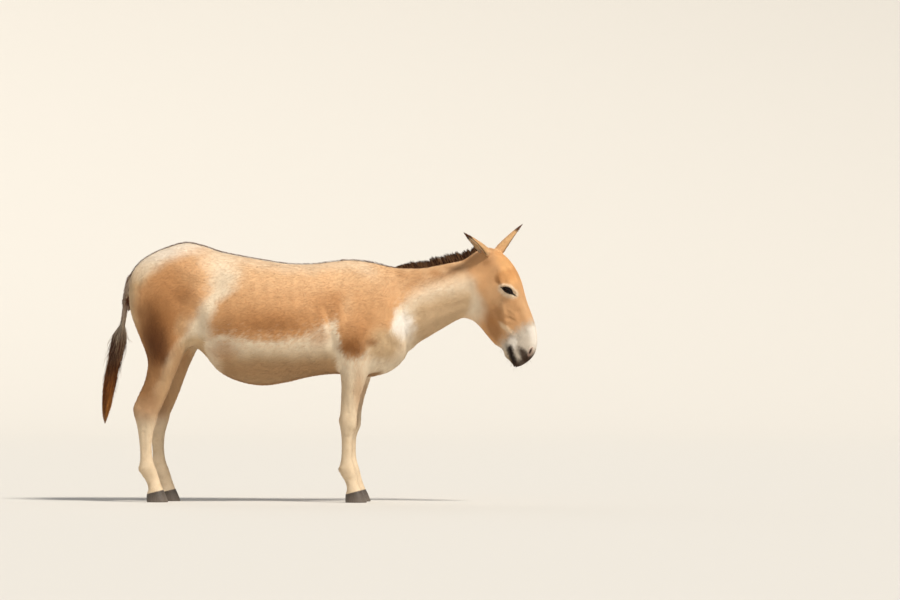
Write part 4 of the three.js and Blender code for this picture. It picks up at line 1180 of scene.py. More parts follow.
def stripe_place(points):
    """How far aside of the dark stripe's edge a place is, and 1 where it is high enough on the back."""
    x, y, z = points.T
    down = np.interp(x, *TOP_LINE.T) - z
    width = np.interp(x, *STRIPE_WIDTH.T) + 1.5 * wobble(points, 60)
    high = np.maximum(fade(down, 90, 50) * fade(x, 400, 320), fade(down, 170, 110) * fade(x, -820, -860))
    return np.abs(y) - width, high


def on_stripe(points):
    off, high = stripe_place(points)
    return high * fade(off, 3, -2) * (points[:, 2] > 1000)


def stripe_colour(points, c):
    """The dark stripe: 26 mm wide on the croup and 14 on the withers, with a pale edge on each side."""
    off, high = stripe_place(points)
    pale = 0.8 * high * fade(off, 34, 8) * fade(points[:, 0], 60, -200)
    return layered(c, (CREAM, pale), (EEL_BROWN, high * fade(off, 4, -2)))


def neck_colour(points, c):
    """The stripe goes on up the crest under the mane, with rufous hair on both sides of it deepened by
    painted shade, and a band of painted shade under the neck's muscle.
    """
    s, v, w = PARTS["neck"].local(points).T
    w = np.abs(w)
    top = PARTS["neck"].section(s)[0]
    crest = fade(s, -20, 60) * fade(top - v, 46, 26) * fade(w, 17, 11) * (s < 640)
    high = fade(v - 98 + 0.04 * s, -22, 24) * fade(s, 60, 190) * fade(s, 640, 560) * fade(w, 12, 40)
    # A band of painted shade under the neck's muscle.
    under_muscle = bump(v - (83 + 0.14 * np.maximum(s - 300, 0)), 0, 15)
    under_muscle = under_muscle * fade(s, 200, 300) * fade(s, 560, 500)
    return layered(
        c,
        (STRIPE, crest),
        # rufous hair high on the neck, deepened by painted shade
        (RUFOUS, 0.55 * high * (0.8 + 0.5 * wobble(points, 90))),
        (BROWN, 0.28 * under_muscle * fade(w, 20, 40)),
    )


# %% The pattern of the head
def upper_fold(a, b):
    """1 in the fold above the upper lid."""
    arch = 1 - (a / 46) ** 2
    return bump(b, 15 * arch + 1, 3.4) * fade(arch, 0, 0.4)


def head_colour(points, c):
    """Ochre brow, pale cheek and eye ring, white muzzle, dark lids and lips, painted shade in the hollows and
    under the cheek, and a painted highlight on the lip's muscle.
    """
    local = head.local(points)
    u, v = local[:, 0] + 5 * wobble(points, 70), local[:, 1] + 5 * wobble(points + 30, 60)
    here = fade(head.distance(points), 42, 5) * fade(u, -50, 25)
    # Painted shade in the crease at the end of the cheek's crest.
    crest_end = bump(np.abs(v - 30 * np.sin((u - 322) / 26)), 0, 5) * blob(u, v, (340, 12), (26, 46))
    # A painted highlight on the muscle that lifts the lip.
    lip_muscle_highlight = blob(u, v - 0.42 * (u - 382), (382, -26), (46, 17))
    jowl = blob(u, v - 0.1 * (u - 196), (196, -144), (106, 69), 1.35, 0.35)
    white_from = 424 - np.where(v > -16, 0.2, 0.35) * (v + 16)
    blotches = fade(wobble(points, 19) + 0.7 * wobble(points + 9, 8), -0.2, 0.9)
    a, b, out, m = slit_place(local, EYE_SLIT)
    by_eye = out > 40
    ragged = m + 3 * wobble(points, 16) + 2 * wobble(points, 7)
    ring = np.where(b < 2, 0.85 * fade(ragged, 36, 11), 0.8 * fade(ragged, 32, 17))
    corners = blob(a, b, (33, -2.5), (16, 5), 1.2, 0.5) + blob(a, b, (-33, 0), (12, 3.4), 1.2, 0.5)
    # The dark bare rim is wider above the eye, where it is also the painted shadow of the lashes.
    wide = 4 + 6 * fade(b, -1, 3) * fade(np.abs(a + 4), 36, 14)
    face = layered(
        plain(FAWN, points),
        (LIGHT_FAWN, 0.5 * fade(v, 60, 110) * fade(u, 200, 330)),
        (RUFOUS, 0.35 * blob(u, v, (270, -40), (130, 60))),
        (LIGHT_FAWN, 0.45 * blob(u, v, (235, -20), (110, 60), 1.3, 0.3)),  # below the eye
        (OCHRE, 0.85 * fade(v, 30, 78) * fade(u, 245, 150)),
        (TAWNY, 0.45 * blob(u, v, (142, 72), (34, 62), 1.3, 0.5)),  # brow
        # painted shade in the hollow of the temple
        (BROWN, 0.42 * blob(u, v, (142, 24), (27, 14))),  # hollow of the temple
        # painted shade under the ear
        (BROWN, 0.4 * blob(u, v, (40, 4), (26, 24), 1.5, 0.2)),  # under the ear
        # painted shade under the cheek's crest
        (BROWN, 0.3 * blob(u, v, (296, -34), (60, 16), 1.4, 0.2)),  # under the cheek's crest
        # painted shade on the underside of the cheek
        (BROWN, 0.6 * blob(u, v, (356, -88), (80, 36))),  # lower cheek
        (RUFOUS, 0.5 * blob(u, v, (300, -60), (70, 60))),
        # painted shade in the crease at the crest's end
        (BROWN, 0.5 * crest_end),
        # painted highlight on the lip's muscle
        (LIGHT_FAWN, lip_muscle_highlight),
        (CREAM, 0.35 * lip_muscle_highlight),
        (CREAM, 0.92 * jowl),
        (CREAM, 0.3 * blob(u, v, (90, -140), (90, 50), 1.3, 0.5)),
        (CREAM, 0.5 * fade(v, -128, -160) * fade(u, 380, 300)),
        (GREY_WHITE, fade(u + 9 * wobble(points, 24), white_from - 42, white_from + 26)),
        (MOUSE_GREY, 0.5 * blotches * blob(u, v, (446, -18), (62, 58))),
        (WHITE, 0.75 * blob(u, v, (462, -22), (36, 26))),
        (WHITE, 0.8 * fade(v, 50, 84) * fade(u, 400, 430)),
        (CREAM, ring * by_eye),
        (RUFOUS, 0.45 * upper_fold(a, b) * by_eye),
        (BARE, (fade(m, wide + 2.5, wide) + corners) * by_eye),
        (BLACKISH, fade(m, 1.5, 0) * by_eye),
    )
    return painted(c, face, here), here, local


def muzzle_colour(c, here, local, points):
    """Grey-black lips and chin line, dark skin beside the nostril and a pink rim round it."""
    u, v, w = local[:, 0], local[:, 1], np.abs(local[:, 2])
    along, across, _ = mouth_place(local)
    rough = 4.5 * wobble(points, 21) + 2.5 * wobble(points, 8)
    lips = fade(np.abs(across + 2) + rough, 29, 9) * fade(along + 1.6 * rough, -30, 14)
    wing_along = (u - 545) * 0.99 + (v - 10) * 0.12
    wing_up = (v - 10) * 0.99 - (u - 545) * 0.12
    uneven = 0.14 * wobble(points, 20) + 0.08 * wobble(points, 7)
    wing = blob(wing_along, wing_up, (0, 0), (50, 20), 1.4, 0.55, uneven)
    _, _, out, m = slit_place(local, NOSTRIL)
    by_nostril = here * (out > 8)
    return layered(
        c,
        (NOSE_BROWN, 0.8 * fade(np.abs(across + 4) + rough, 36, 14) * fade(along + 2 * rough, 30, 80) * here),
        (BARE, 0.95 * lips * here),
        (BLACKISH, 0.8 * fade(np.abs(across) + rough, 13, 6) * fade(along + rough, -14, 4) * here),
        (NOSE_BROWN, 0.92 * wing * here * fade(w, 2, 10)),
        (NOSE_BROWN, 0.9 * fade(u + 0.1 * v + rough, 534, 566) * fade(v, 92, 64) * here),
        (PINK, 0.4 * fade(m, 7, 3) * by_nostril),
        (BLACKISH, fade(m, 1.5, -1.5) * by_nostril),
        (SAND, 0.35 * here * bump(np.abs(v + 78), 0, 12) * fade(u, 470, 490)),
    )


# %% The pattern of the ears
def ear_place(points, ear):
    """Height along an ear (0 to 1), and how far in front of its axis and aside of it, in millimetres."""
    d = points - ear.root
    return d @ ear.axis / ear.length, d @ ear.front, d @ ear.side


def on_ear(points, ear):
    """1 on an ear, 0 on the head: by the distance from the ear's axis, and above its root."""
    t, front, side = ear_place(points, ear)
    clear = fade(np.minimum(head.distance(points), PARTS["neck"].distance(points)), 2, 8)
    return clear * (np.hypot(front, side) < 75) * (t > 0) * (t < 1.1)


def in_ear(points, ear):
    """True on the hollow side of an ear."""
    t, front, side = ear_place(points, ear)
    radius, _, bend = ear.arc(np.clip(t, 0, 1))
    return (np.hypot(side, bend - front) < radius - 2.6) & (on_ear(points, ear) > 0)


def ear_colour(points, c):
    """Fawn with a dark tip, dark edges low down, and pale hair inside."""
    for ear in EARS.values():
        t, front, side = ear_place(points, ear)
        _, opening, bend = ear.arc(np.clip(t, 0, 1))
        share = np.abs(np.arctan2(side, bend - front)) / opening
        look = layered(
            plain(EAR_TAN, points),
            (LIGHT_FAWN, 0.35 + 0.4 * fade(t, 0.25, 0)),
            (PALE_INSIDE, 0.95 * in_ear(points, ear) * fade(t, 0.86, 0.66)),
            (STRIPE, 0.75 * fade(share, 0.84, 0.98) * fade(t, 0.02, 0.14)),
            (STRIPE, fade(t + 0.03 * wobble(points, 18), 0.68, 0.76)),
        )
        c = painted(c, look, on_ear(points, ear))
    return c


def markings(points):
    """The colour of skin and hair at each point, painted shade and highlight included, from the body's
    pattern to the face's and the ears'.
    """
    c = neck_colour(points, stripe_colour(points, body_colour(points)))
    c, here, local = head_colour(points, c)
    c = ear_colour(points, muzzle_colour(c, here, local, points))
    x, y, z = points.T
    dock = PARTS["dock"]
    from_middle = x - dock.middle(z)[:, 0]
    behind = fade(from_middle, 8, -10)
    on_dock = (dock.distance(points) < 10) * fade(z, 1130, 1080) * np.maximum(behind, fade(z, 1010, 960))
    dark = 0.12 + 0.8 * fade(np.abs(y), 11, 5) * behind + 0.3 * fade(z, 950, 890)
    return layered(c, (DOCK_GREY, on_dock), (STRIPE, on_dock * dark))


# %% [markdown]
# ## The lie of the coat
# Hair slopes the way water would run off a grazing animal: back along the barrel, down the legs, and down
# the face from a whorl on the forehead. It could be combed by hand; here each part has one direction in its
# own frame, and near a joint the directions are mixed by how close each part is.

# %% Which way the hair lies
def combed(points, normals):
    """The direction of the hair at each point: the parts' own directions weighed by exp(-distance/14),
    then laid flat on the skin."""
    distances = apart(points)
    weights = np.exp(-(distances - distances.min(axis=0)) / 14)
    total = np.zeros_like(points)
    for (name, part), weight in zip(PARTS.items(), weights):
        s, v, w = part.local(points).T
        if name == "trunk":
            chest = fade(s, 300, 400)
            aside = np.sign(points[:, 1]) * 0.25 * (1 - chest)
            way = np.stack([-1 + chest, aside * fade(points[:, 2], 900, 1100), -0.32 - 0.9 * chest], axis=1)
        elif name == "neck":
            way = -part.along - 0.35 * part.up + 0 * points
        elif name == "head":
            brow = fade(v, -20, 86) * fade(s, 210, 60)  # above the whorl the hair runs back to the ears
            way = (0.9 - 1.9 * brow)[:, None] * part.along - 0.6 * fade(v, 40, -60)[:, None] * part.up
            fan = 4 * brow * (1 - brow)  # between the two the hair fans out to the side
            way += (np.clip(w / 22, -1, 1) * (0.5 * brow + 0.5 * fan))[:, None] * part.out
            way -= (0.9 * fan)[:, None] * part.up
        else:
            way = np.array([-0.2 if name == "dock" else -0.12, 0, -1]) + 0 * points
        total += weight[:, None] * way
    for ear in EARS.values():
        total += 20 * on_ear(points, ear)[:, None] * ear.axis
    total += 0.16 * np.stack([wobble(points, 90), wobble(points + 17, 80), wobble(points + 51, 85)], axis=1)
    total -= (total * normals).sum(axis=1)[:, None] * normals
    return total / np.maximum(np.linalg.norm(total, axis=1), 1e-6)[:, None]


# %% Painting the skin
def set_colour(mesh, values, name="Coat"):
    attribute = mesh.color_attributes.new(name, "FLOAT_COLOR", "POINT")
    rgba = np.ones((len(mesh.vertices), 4), np.float32)
    rgba[:, :3] = values
    attribute.data.foreach_set("color", rgba.ravel())


def set_number(mesh, values, name):
    mesh.attributes.new(name, "FLOAT", "POINT").data.foreach_set("value", np.asarray(values, np.float32))


def bare_share(points):
    """1 where the skin has no hair: eye rims, the lips' edge and the inside of the nostrils."""
    local = head.local(points)
    here = head.distance(points) < 8
    _, _, w, past_eye = slit_place(local, EYE_SLIT)
    past_nostril = slit_place(local, NOSTRIL)[3]
    eye, nostril = fade(past_eye, 4.5, 2.5) * (w > 45), fade(past_nostril, 5, 3) * (w > 8)
    along, across, _ = mouth_place(local)
    lips = fade(np.abs(across), 6, 4) * fade(along, -8, 2)
    return np.clip(eye + nostril + lips, 0, 1) * here


points = places_of(skin.data)
set_colour(skin.data, markings(points))
set_number(skin.data, bare_share(points), "Bare")
part_of = nearest(points)
grain = np.zeros_like(points)
for n, part in enumerate(PARTS.values()):
    mine = part_of == n
    grain[mine] = part.local(points[mine])
skin.data.attributes.new("Grain", "FLOAT_VECTOR", "POINT").data.foreach_set("vector", grain.ravel())
print("markings painted on", len(points), "points of the skin")

# %% [markdown]
# ## Hooves
# An onager's hoof is narrow and upright, a wall of horn that grows down from the coronet in fine rings. Each
# row of its grid lies in a plane that tilts more the nearer it is to the coronet, as growth rings do. Below
# the wall the grid turns under to a sole that is hollow, so that only the wall's edge carries weight.

# %% Hoof shape
def ring_moved(ring, inwards, down_to):
    """A ring drawn towards its middle by so many millimetres, at a new height."""
    middle = ring.mean(axis=0)
    off = ring - middle
    size = np.linalg.norm(off[:, :2], axis=1, keepdims=True)
    moved = middle + off * np.maximum(1 - inwards / size, 0.04)
    moved[:, 2] = down_to
    return moved


# A hoof below its wall, from the middle of the sole to the ground edge, and over its upper edge: millimetres
# inwards, and the height or the rise.
UNDER_HOOF = ((60, 5), (30, 4.5), (12, 3.5), (9, 0.6), (7, 0), (1.3, 0), (0.2, 1.2))
OVER_HOOF = ((0.9, 0.5), (3.5, -0.6), (9, -3))
HOOF_ROWS, HOOF_COLUMNS = 30, 84


def hoof_grid(part):
    """Its two parameters are the share of the way from the sole to the coronet and the turn."""
    turn = turns(HOOF_COLUMNS)
    share = np.linspace(0.07, 1, HOOF_ROWS)
    middle = part.middle(share * 45)[:, None] + 0 * turn[None, :, None]
    start = middle.copy()
    start[..., 2] = share[:, None] * coronet(middle[..., 0], middle[..., 1])
    way = np.cos(turn)[None, :, None] * part.up + np.sin(turn)[None, :, None] * part.out + 0 * start
    way[..., 2] = CORONET_SLOPE * share[:, None] * np.cos(turn)
    wall = shoot(start, way, part, 6, 0.3)
    foot, crown = wall[0], wall[-1]
    under = [ring_moved(foot, inwards, high) for inwards, high in UNDER_HOOF]
    over = [ring_moved(crown, inwards, crown[:, 2] + rise) for inwards, rise in OVER_HOOF]
    return np.stack(under + list(wall) + over)


hooves = {}
for name, part in PARTS.items():
    if "leg" in name:
        grid = hoof_grid(part)
        piece_name = name.replace("leg_", "_hoof_") + "_horn"
        flip = np.dot(np.cross(part.up, part.out), (0, 0, 1)) < 0
        piece = new_piece(piece_name, grid.reshape(-1, 3), grid_faces(*grid.shape[:2], flip=flip))
        share = np.clip((np.arange(len(grid)) - len(UNDER_HOOF)) / (HOOF_ROWS - 1), 0, 1)
        set_number(piece.data, np.repeat(share, grid.shape[1]), "Growth")
        hooves[name] = piece
print("hooves:", ", ".join(piece.name for piece in hooves.values()))

# %% [markdown]
# ## Eyes
# The ball lies behind the lids and only the cornea bulges a little. An equid's pupil is a lying oval in a
# dark brown iris. The ball is a grid over the sphere round the line of sight, so that iris and pupil are
# rings of that grid and can be coloured by the angle from the line of sight.

# %% Eyeballs
CORNEA_RISE, IRIS_EDGE = 0.9, 0.80  # millimetres, and the iris' angle from the line of sight in radians


def unit(vectors):
    """Vectors brought to length 1."""
    return vectors / np.maximum(np.linalg.norm(vectors, axis=-1, keepdims=True), 1e-9)


def eyeball(name, side, rows=72, columns=96):
    """Its two parameters are the angle from the line of sight and the turn round it."""
    sight = unit(head.along * 0.22 + head.up * 0.02 + side * head.out)
    level = unit(head.along - (head.along @ sight) * sight)
    high = np.cross(sight, level) * side
    turn = turns(columns)
    angle, turn = np.meshgrid(np.linspace(0, np.pi, rows), turn, indexing="ij")
    radius = EYE_RADIUS - 0.35 + CORNEA_RISE * fade(angle, IRIS_EDGE + 0.1, 0.25)
    a, b, deep = np.sin(angle) * np.cos(turn), np.sin(angle) * np.sin(turn), np.cos(angle)
    ways = a[..., None] * level + b[..., None] * high + deep[..., None] * sight
    grid = EYES[name] + radius[..., None] * ways
    flip = np.dot(np.cross(level, high), sight) > 0
    piece = new_piece("eyeball_" + name, grid.reshape(-1, 3), grid_faces(rows, columns, flip=flip))
    streak = 0.5 + 0.25 * np.sin(turn * 37 + 3 * np.sin(turn * 5)) + 0.25 * np.sin(turn * 61 + 2)
    angle = angle.ravel()
    set_colour(piece.data, layered(
        np.tile(IRIS_DARK, (rows * columns, 1)),
        (IRIS_BROWN, 0.8 * streak.ravel() * fade(angle, 0.42, 0.6)),
        (PUPIL_BLACK, fade(np.hypot(a / 0.46, b / 0.27), 1.06, 0.94).ravel()),
        (EYE_RING, fade(angle, IRIS_EDGE - 0.06, IRIS_EDGE + 0.02)),
    ))
    return piece


eyeballs = {name: eyeball(name, side) for name, side in SIDES.items()}
print("eyeballs:", len(eyeballs))

# %% [markdown]
# ## The coat
# Summer hair lies flat, so most of it is bump in the skin's material. Over that lie some 180,000 thin
# tufts, which break the outline and catch the light as hair does. A particle system would be
# quicker to set up, but it isn't a mesh. Each tuft here is a flat closed sliver of five points and six
# triangles: a root in the skin, two sides and a ridge near the middle, and a tip that rises a little.

# %% Meshes from arrays
def triangle_piece(name, points, triangles):
    """A mesh object from whole arrays, without a loop."""
    mesh = bpy.data.meshes.new(name)
    mesh.vertices.add(len(points))
    mesh.vertices.foreach_set("co", metres(points).astype(np.float32).ravel())
    mesh.loops.add(triangles.size)
    mesh.loops.foreach_set("vertex_index", triangles.astype(np.int32).ravel())
    mesh.polygons.add(len(triangles))
    mesh.polygons.foreach_set("loop_start", np.arange(len(triangles), dtype=np.int32) * 3)
    shaded_smooth(mesh)
    mesh.update(calc_edges=True)
    return in_scene(name, mesh)


def set_bake_map(mesh, uv):
    """The map OFBake, from one place for each point."""
    corners = numbers(mesh.loops, "vertex_index", 1, np.int32)[:, 0]
    mesh.uv_layers.new(name="OFBake").data.foreach_set("uv", uv[corners].astype(np.float32).ravel())


# %% Where the hairs grow
rng = np.random.default_rng(7)
box_low, box_high = (np.array(corner) for corner in cad_box)


def kept_inside(points):
    """No tip passes the outside of the solids' box."""
    low, high = (box_low - SHIFT) * 1000 + 0.3, (box_high - SHIFT) * 1000 - 0.3
    return np.clip(points, low, high)


def scattered(mesh, area_each):
    """Random places on a mesh, one on each so many square millimetres, and the normals there."""
    mesh.calc_loop_triangles()
    corners = numbers(mesh.loop_triangles, "vertices", 3, np.int32)
    points, normals = places_of(mesh), normals_of(mesh)
    a, b, c = (points[corners[:, k]] for k in range(3))
    area = np.linalg.norm(np.cross(b - a, c - a), axis=1) / 2
    chosen = np.repeat(np.arange(len(area)), rng.poisson(area / area_each((a + b + c) / 3)))
    share = rng.random((len(chosen), 2))
    share = np.where(share.sum(axis=1, keepdims=True) > 1, 1 - share, share)
    weights = np.concatenate([1 - share.sum(axis=1, keepdims=True), share], axis=1)
    place = (points[corners[chosen]] * weights[..., None]).sum(axis=1)
    normal = (normals[corners[chosen]] * weights[..., None]).sum(axis=1)
    return place, unit(normal)


# %% Size of the tufts
def ear_share(points):
    return np.clip(sum(on_ear(points, ear) for ear in EARS.values()), 0, 1)


LONGEST, SHORTER_BELOW, SHORTER_ON_HEAD, SHORTER_ON_MUZZLE = 17, 7.5, 9.5, 2.2  # mm


def tuft_sizes(points):
    """Length and half width in millimetres: longest on the body, shortest on the face and the feet."""
    x, y, z = points.T
    u, v = head.local(points)[:, :2].T
    near_head = fade(head.distance(points), 60, 15) * fade(u, -40, 30)
    low = fade(z, 700, 480)
    length = LONGEST - SHORTER_BELOW * low - SHORTER_ON_HEAD * near_head
    length -= SHORTER_ON_MUZZLE * near_head * fade(u, 380, 480)
    length += 6 * near_head * fade(v, -110, -150) * fade(u, 330, 200)  # under the jaw
    _, _, out, past_eye = slit_place(head.local(points), EYE_SLIT)
    length -= 3.4 * fade(past_eye, 24, 8) * (out > 40) * near_head
    length += 5 * blob(x, z, (95, 800), (70, 60)) + 4 * fade(z, 745, 700) * (np.abs(x) < 500) * (z > 660)
    heel = (x < np.where(x > 0, 150, -860)) & (z < 190) & (z > 90)
    length += 5 * heel + 3 * fade(np.abs(z - coronet(x, y) - 5), 12, 5)
    half = 0.32 + 0.055 * length
    on = ear_share(points)
    return length * (1 - on) + 7 * on, half * (1 - on) + 0.72 * on


def coat_area(points):
    length, half = tuft_sizes(points)
    return length * half * 1.5 / (1 + 2.5 * on_stripe(points))


roots, root_normals = scattered(skin.data, coat_area)
hairy = rng.random(len(roots)) > 1.2 * bare_share(roots)
hairy &= (head.distance(roots) > -9) | (ear_share(roots) > 0)  # not on the walls of the nostrils or the mouth
for ear in EARS.values():
    hairy &= ~in_ear(roots, ear)
hairy &= roots[:, 2] > coronet(roots[:, 0], roots[:, 1]) + 1.5
roots, root_normals = roots[hairy], root_normals[hairy]
print("roots:", len(roots), "- triangles:", 6 * len(roots))

# %% Combing and colouring
ways = combed(roots, root_normals)
aside = np.cross(root_normals, ways)
swirl = rng.normal(0, 0.13, len(roots))[:, None]
ways = ways * np.cos(swirl) + aside * np.sin(swirl)
aside = np.cross(root_normals, ways)
lengths, halves = tuft_sizes(roots)
lengths = (lengths * rng.uniform(0.72, 1.3, len(roots)))[:, None]
halves = (halves * rng.uniform(0.75, 1.2, len(roots)))[:, None]
depths = coat_depth(roots)[:, None]
# Most tufts lie low and some stand to the coat's full height. The stripe's hair is longer and stands.
rises = depths * (0.26 + 0.8 * rng.random(len(roots))[:, None] ** 2.4)
rises += on_stripe(roots)[:, None] * rng.uniform(3, 8, len(roots))[:, None]
_, _, out, past_eye = slit_place(head.local(roots), EYE_SLIT)
by_eye = fade(past_eye, 30, 8) * (out > 40) * (head.distance(roots) < 20)
stray = 2.2 * rng.normal(0, 1, roots.shape) * ((1 - ear_share(roots)) * (1 - 0.8 * by_eye))[:, None]
shades = markings(roots + stray) * rng.uniform(0.95, 1.04, len(roots))[:, None]
# Five points each: the root, two sides and a ridge over the widest place, and the tip.
WIDEST_AT, HIGH_THERE = 0.42, 0.55  # shares of a tuft's length, and of its rise
widest = roots + WIDEST_AT * lengths * ways
sides = (HIGH_THERE * rises - 0.15) * root_normals
slivers = np.stack([
    roots - 0.5 * root_normals,
    widest - halves * aside + sides,
    widest + halves * aside + sides,
    widest + (HIGH_THERE * rises + 0.10 * halves + 0.12) * root_normals,
    roots + lengths * ways + rises * root_normals,
], axis=1)
slivers = kept_inside(slivers.reshape(-1, 3)).reshape(-1, 5, 3)
SLIVER = np.array([(0, 2, 3), (0, 3, 1), (4, 3, 2), (4, 1, 3), (0, 1, 2), (4, 2, 1)])
TONE = np.array([0.90, 0.98, 0.98, 1, 1.04])
ON_MAP = 0.0015  # half the length of a tuft on the map
PATCH = np.array([(-1, 0), (0, -1), (0, 1), (0.15, 0.2), (1, 0)]) * ON_MAP

# %% Pieces of the coat
def charted(points, part):
    """An unwrap of the skin: the place along the part's axis and the turn round its middle."""
    s, v, w = part.local(points).T
    top, bottom = part.section(s)[:2]
    return np.stack([s, np.arctan2(w, v - bottom * 0.5 - top * 0.5)], axis=1)


def squared(chart):
    """A chart stretched to fill the square of the map, from 0 to 1 both ways."""
    low, high = chart.min(axis=0), chart.max(axis=0)
    return 0.004 + 0.992 * (chart - low) / np.maximum(high - low, 1e-6)


group = np.array(list(PARTS))[nearest(roots)].astype("U24")
trunk_like = group == "trunk"
where = np.select([roots[:, 0] > 90, roots[:, 0] > -420], ["shoulders", "barrel"], "quarters")
side_name = np.where(roots[:, 1] > 0, "left", "right")
group[trunk_like] = np.char.add(np.char.add(where[trunk_like], "_"), side_name[trunk_like])
group[group == "head"] = np.char.add("head_", side_name[group == "head"])
for name, ear in EARS.items():
    group[on_ear(roots, ear) > 0.5] = "ear_" + name
coat = {}
for name in np.unique(group):
    mine = group == name
    part = PARTS.get(name, head if name.startswith("head") else PARTS["trunk"])
    chart = charted(roots[mine], part)
    if name.startswith("ear_"):
        t, front, side = ear_place(roots[mine], EARS[name[4:]])
        chart = np.stack([t, np.arctan2(side, 20 - front)], axis=1)
    count = mine.sum()
    triangles = (SLIVER[None] + 5 * np.arange(count)[:, None, None]).reshape(-1, 3)
    piece = triangle_piece("coat_" + name, slivers[mine].reshape(-1, 3), triangles)
    ends = edges_of(piece.data)
    rim_edges = ((ends % 5) != 3).all(axis=1)  # all but the ridge's, so top and underside are shaded apart
    piece.data.attributes.new("sharp_edge", "BOOLEAN", "EDGE").data.foreach_set("value", rim_edges)
    set_colour(piece.data, (shades[mine][:, None] * TONE[None, :, None]).reshape(-1, 3))
    set_bake_map(piece.data, (squared(chart)[:, None] + PATCH[None]).reshape(-1, 2))
    coat[name] = piece
    print(piece.name, count, "tufts,", 6 * count, "triangles")

# %% [markdown]
# ## Long hair
# The mane stands upright and short, like a brush. The tail's hair hangs from the end of the dock, the lashes
# and the hair in the ears curve. All of them are locks: a path that tapers to a point, with three sides. One
# function makes any number of them at once from an array of paths.

# %% Locks from paths
def locks(name, paths, thick, tones, chart):
    """Tubes of three sides along paths (lock, step, XYZ). thick is the radius at each step (lock, step),
    tones the colour (lock, step, RGB) and chart each root's place for the bake map."""
    count, steps = paths.shape[:2]
    run = unit(np.gradient(paths, axis=1))
    first = unit(np.cross(run, rng.normal(0, 1, (count, 1, 3)) + 0 * run))
    second = np.cross(run, first)
    turn = turns(3)
    rings = paths[:, :-1, None] + thick[:, :-1, None, None] * (
        np.cos(turn)[:, None] * first[:, :-1, None] + np.sin(turn)[:, None] * second[:, :-1, None])
    points = np.concatenate([rings.reshape(count, -1, 3), paths[:, -1:]], axis=1)
    each = 3 * (steps - 1) + 1
    i, k = np.meshgrid(np.arange(steps - 2), np.arange(3), indexing="ij")
    a, b = 3 * i + k, 3 * i + (k + 1) % 3
    tube = np.concatenate([np.stack([a, b, b + 3], -1), np.stack([a, b + 3, a + 3], -1)]).reshape(-1, 3)
    last = 3 * (steps - 2)
    tip = np.array([(last + k, last + (k + 1) % 3, each - 1) for k in range(3)])
    shape = np.concatenate([tube, tip, [(0, 2, 1)]])
    triangles = (shape[None] + each * np.arange(count)[:, None, None]).reshape(-1, 3)
    piece = triangle_piece(name, kept_inside(points.reshape(-1, 3)), triangles)
    per_point = np.concatenate([np.repeat(tones[:, :-1], 3, axis=1), tones[:, -1:]], axis=1)
    set_colour(piece.data, per_point.reshape(-1, 3))
    along = np.append(np.repeat(np.linspace(-1, 0.8, steps - 1), 3), 1)
    across = np.append(np.tile((-1, 0.1, 1), steps - 1), 0)
    along[1] -= 0.3
    patch = np.stack([along, across], axis=1) * ON_MAP
    set_bake_map(piece.data, (squared(chart)[:, None] + patch[None]).reshape(-1, 2))
    print(name, count, "locks,", len(triangles), "triangles")
    return piece


def bent(root, way, length, sag, steps):
    """Paths that leave their roots along `way` and bend by `sag`, a share of the length squared."""
    t = np.linspace(0, 1, steps)[None, :, None]
    return root[:, None] + length[:, None, None] * (way[:, None] * t + sag[:, None] * t**2)


def tapered(thick, steps):
    """Thickness along a lock: fullest a third of the way up, thin at the tip."""
    t = np.linspace(0, 1, steps)[None]
    low = t < 0.35
    return thick[:, None] * (0.75 + 0.9 * t / 0.35 * low * 0.3 + 0.27 * ~low) * (1 - t**1.8 * 0.85)


def between(at, stops, rows):
    """Rows of numbers, such as colours, mixed between stops at the places `at`."""
    return np.stack([np.interp(at, stops, column) for column in np.array(rows).T], axis=-1)


def columns_by_height(table, z):
    """The middle, half depth and half width of the tail at the heights z."""
    return np.moveaxis(between(z, table[:, 0], table[:, 1:]), -1, 0)


# %% The mane
MANE_LOCKS, STEPS, CLUMP = 4200, 6, 9  # a clump of the mane is 9 mm along
SUNK, MANE_HALF_WIDTH = 5, 9.5  # mm that the roots lie under the crest, and the width they grow on
neck = PARTS["neck"]
share = rng.random(MANE_LOCKS) ** 0.96
s_at = MANE_SPAN[0] + (MANE_SPAN[1] - MANE_SPAN[0]) * share
fine_s = np.linspace(*MANE_SPAN, 160)
crest_line = shoot(neck.middle(fine_s), np.tile(neck.up, (160, 1)), neck, 60)
crest = between(s_at, fine_s, crest_line)
mane_width = MANE_HALF_WIDTH * np.sqrt(np.sin(np.pi * np.clip(share, 0.03, 0.97)))
off = rng.uniform(-1, 1, MANE_LOCKS)
height = np.interp(share, *MANE_HEIGHT.T)
root = crest - SUNK * neck.up + (off * mane_width)[:, None] * neck.out - (1.5 * off**2)[:, None] * neck.up
clump = (s_at / CLUMP + 0.35 * np.sin(7 * off)).astype(int)
clump_tall, clump_lean = rng.uniform(0.76, 1.05, 80), rng.normal(0, 0.09, 80)
to_middle = ((clump + 0.5) * CLUMP - s_at) / 60
lean_back = -0.10 + clump_lean[clump] + to_middle + rng.normal(0, 0.06, MANE_LOCKS)
lean_back += 0.25 * fade(share, 0.86, 1)
lean_out = 0.16 * off + rng.normal(0, 0.07, MANE_LOCKS)
way = unit(neck.up + lean_back[:, None] * neck.along + lean_out[:, None] * neck.out)
tall = (height + SUNK) * clump_tall[clump] * (1 - 0.42 * rng.random(MANE_LOCKS) ** 1.6) * (1 - 0.10 * off**2)
sag = rng.normal(0, 0.06, (MANE_LOCKS, 3)) - 0.06 * neck.along
paths = bent(root, way, tall, sag, STEPS)
browns = [STRIPE * 0.5, colour("#44240f"), colour("#53301a"), colour("#331a0c")]
brown = between(np.linspace(0, 1, STEPS), (0, 0.3, 0.7, 1), browns)
pale_side = STRIPE + (FAWN - STRIPE) * 0.55
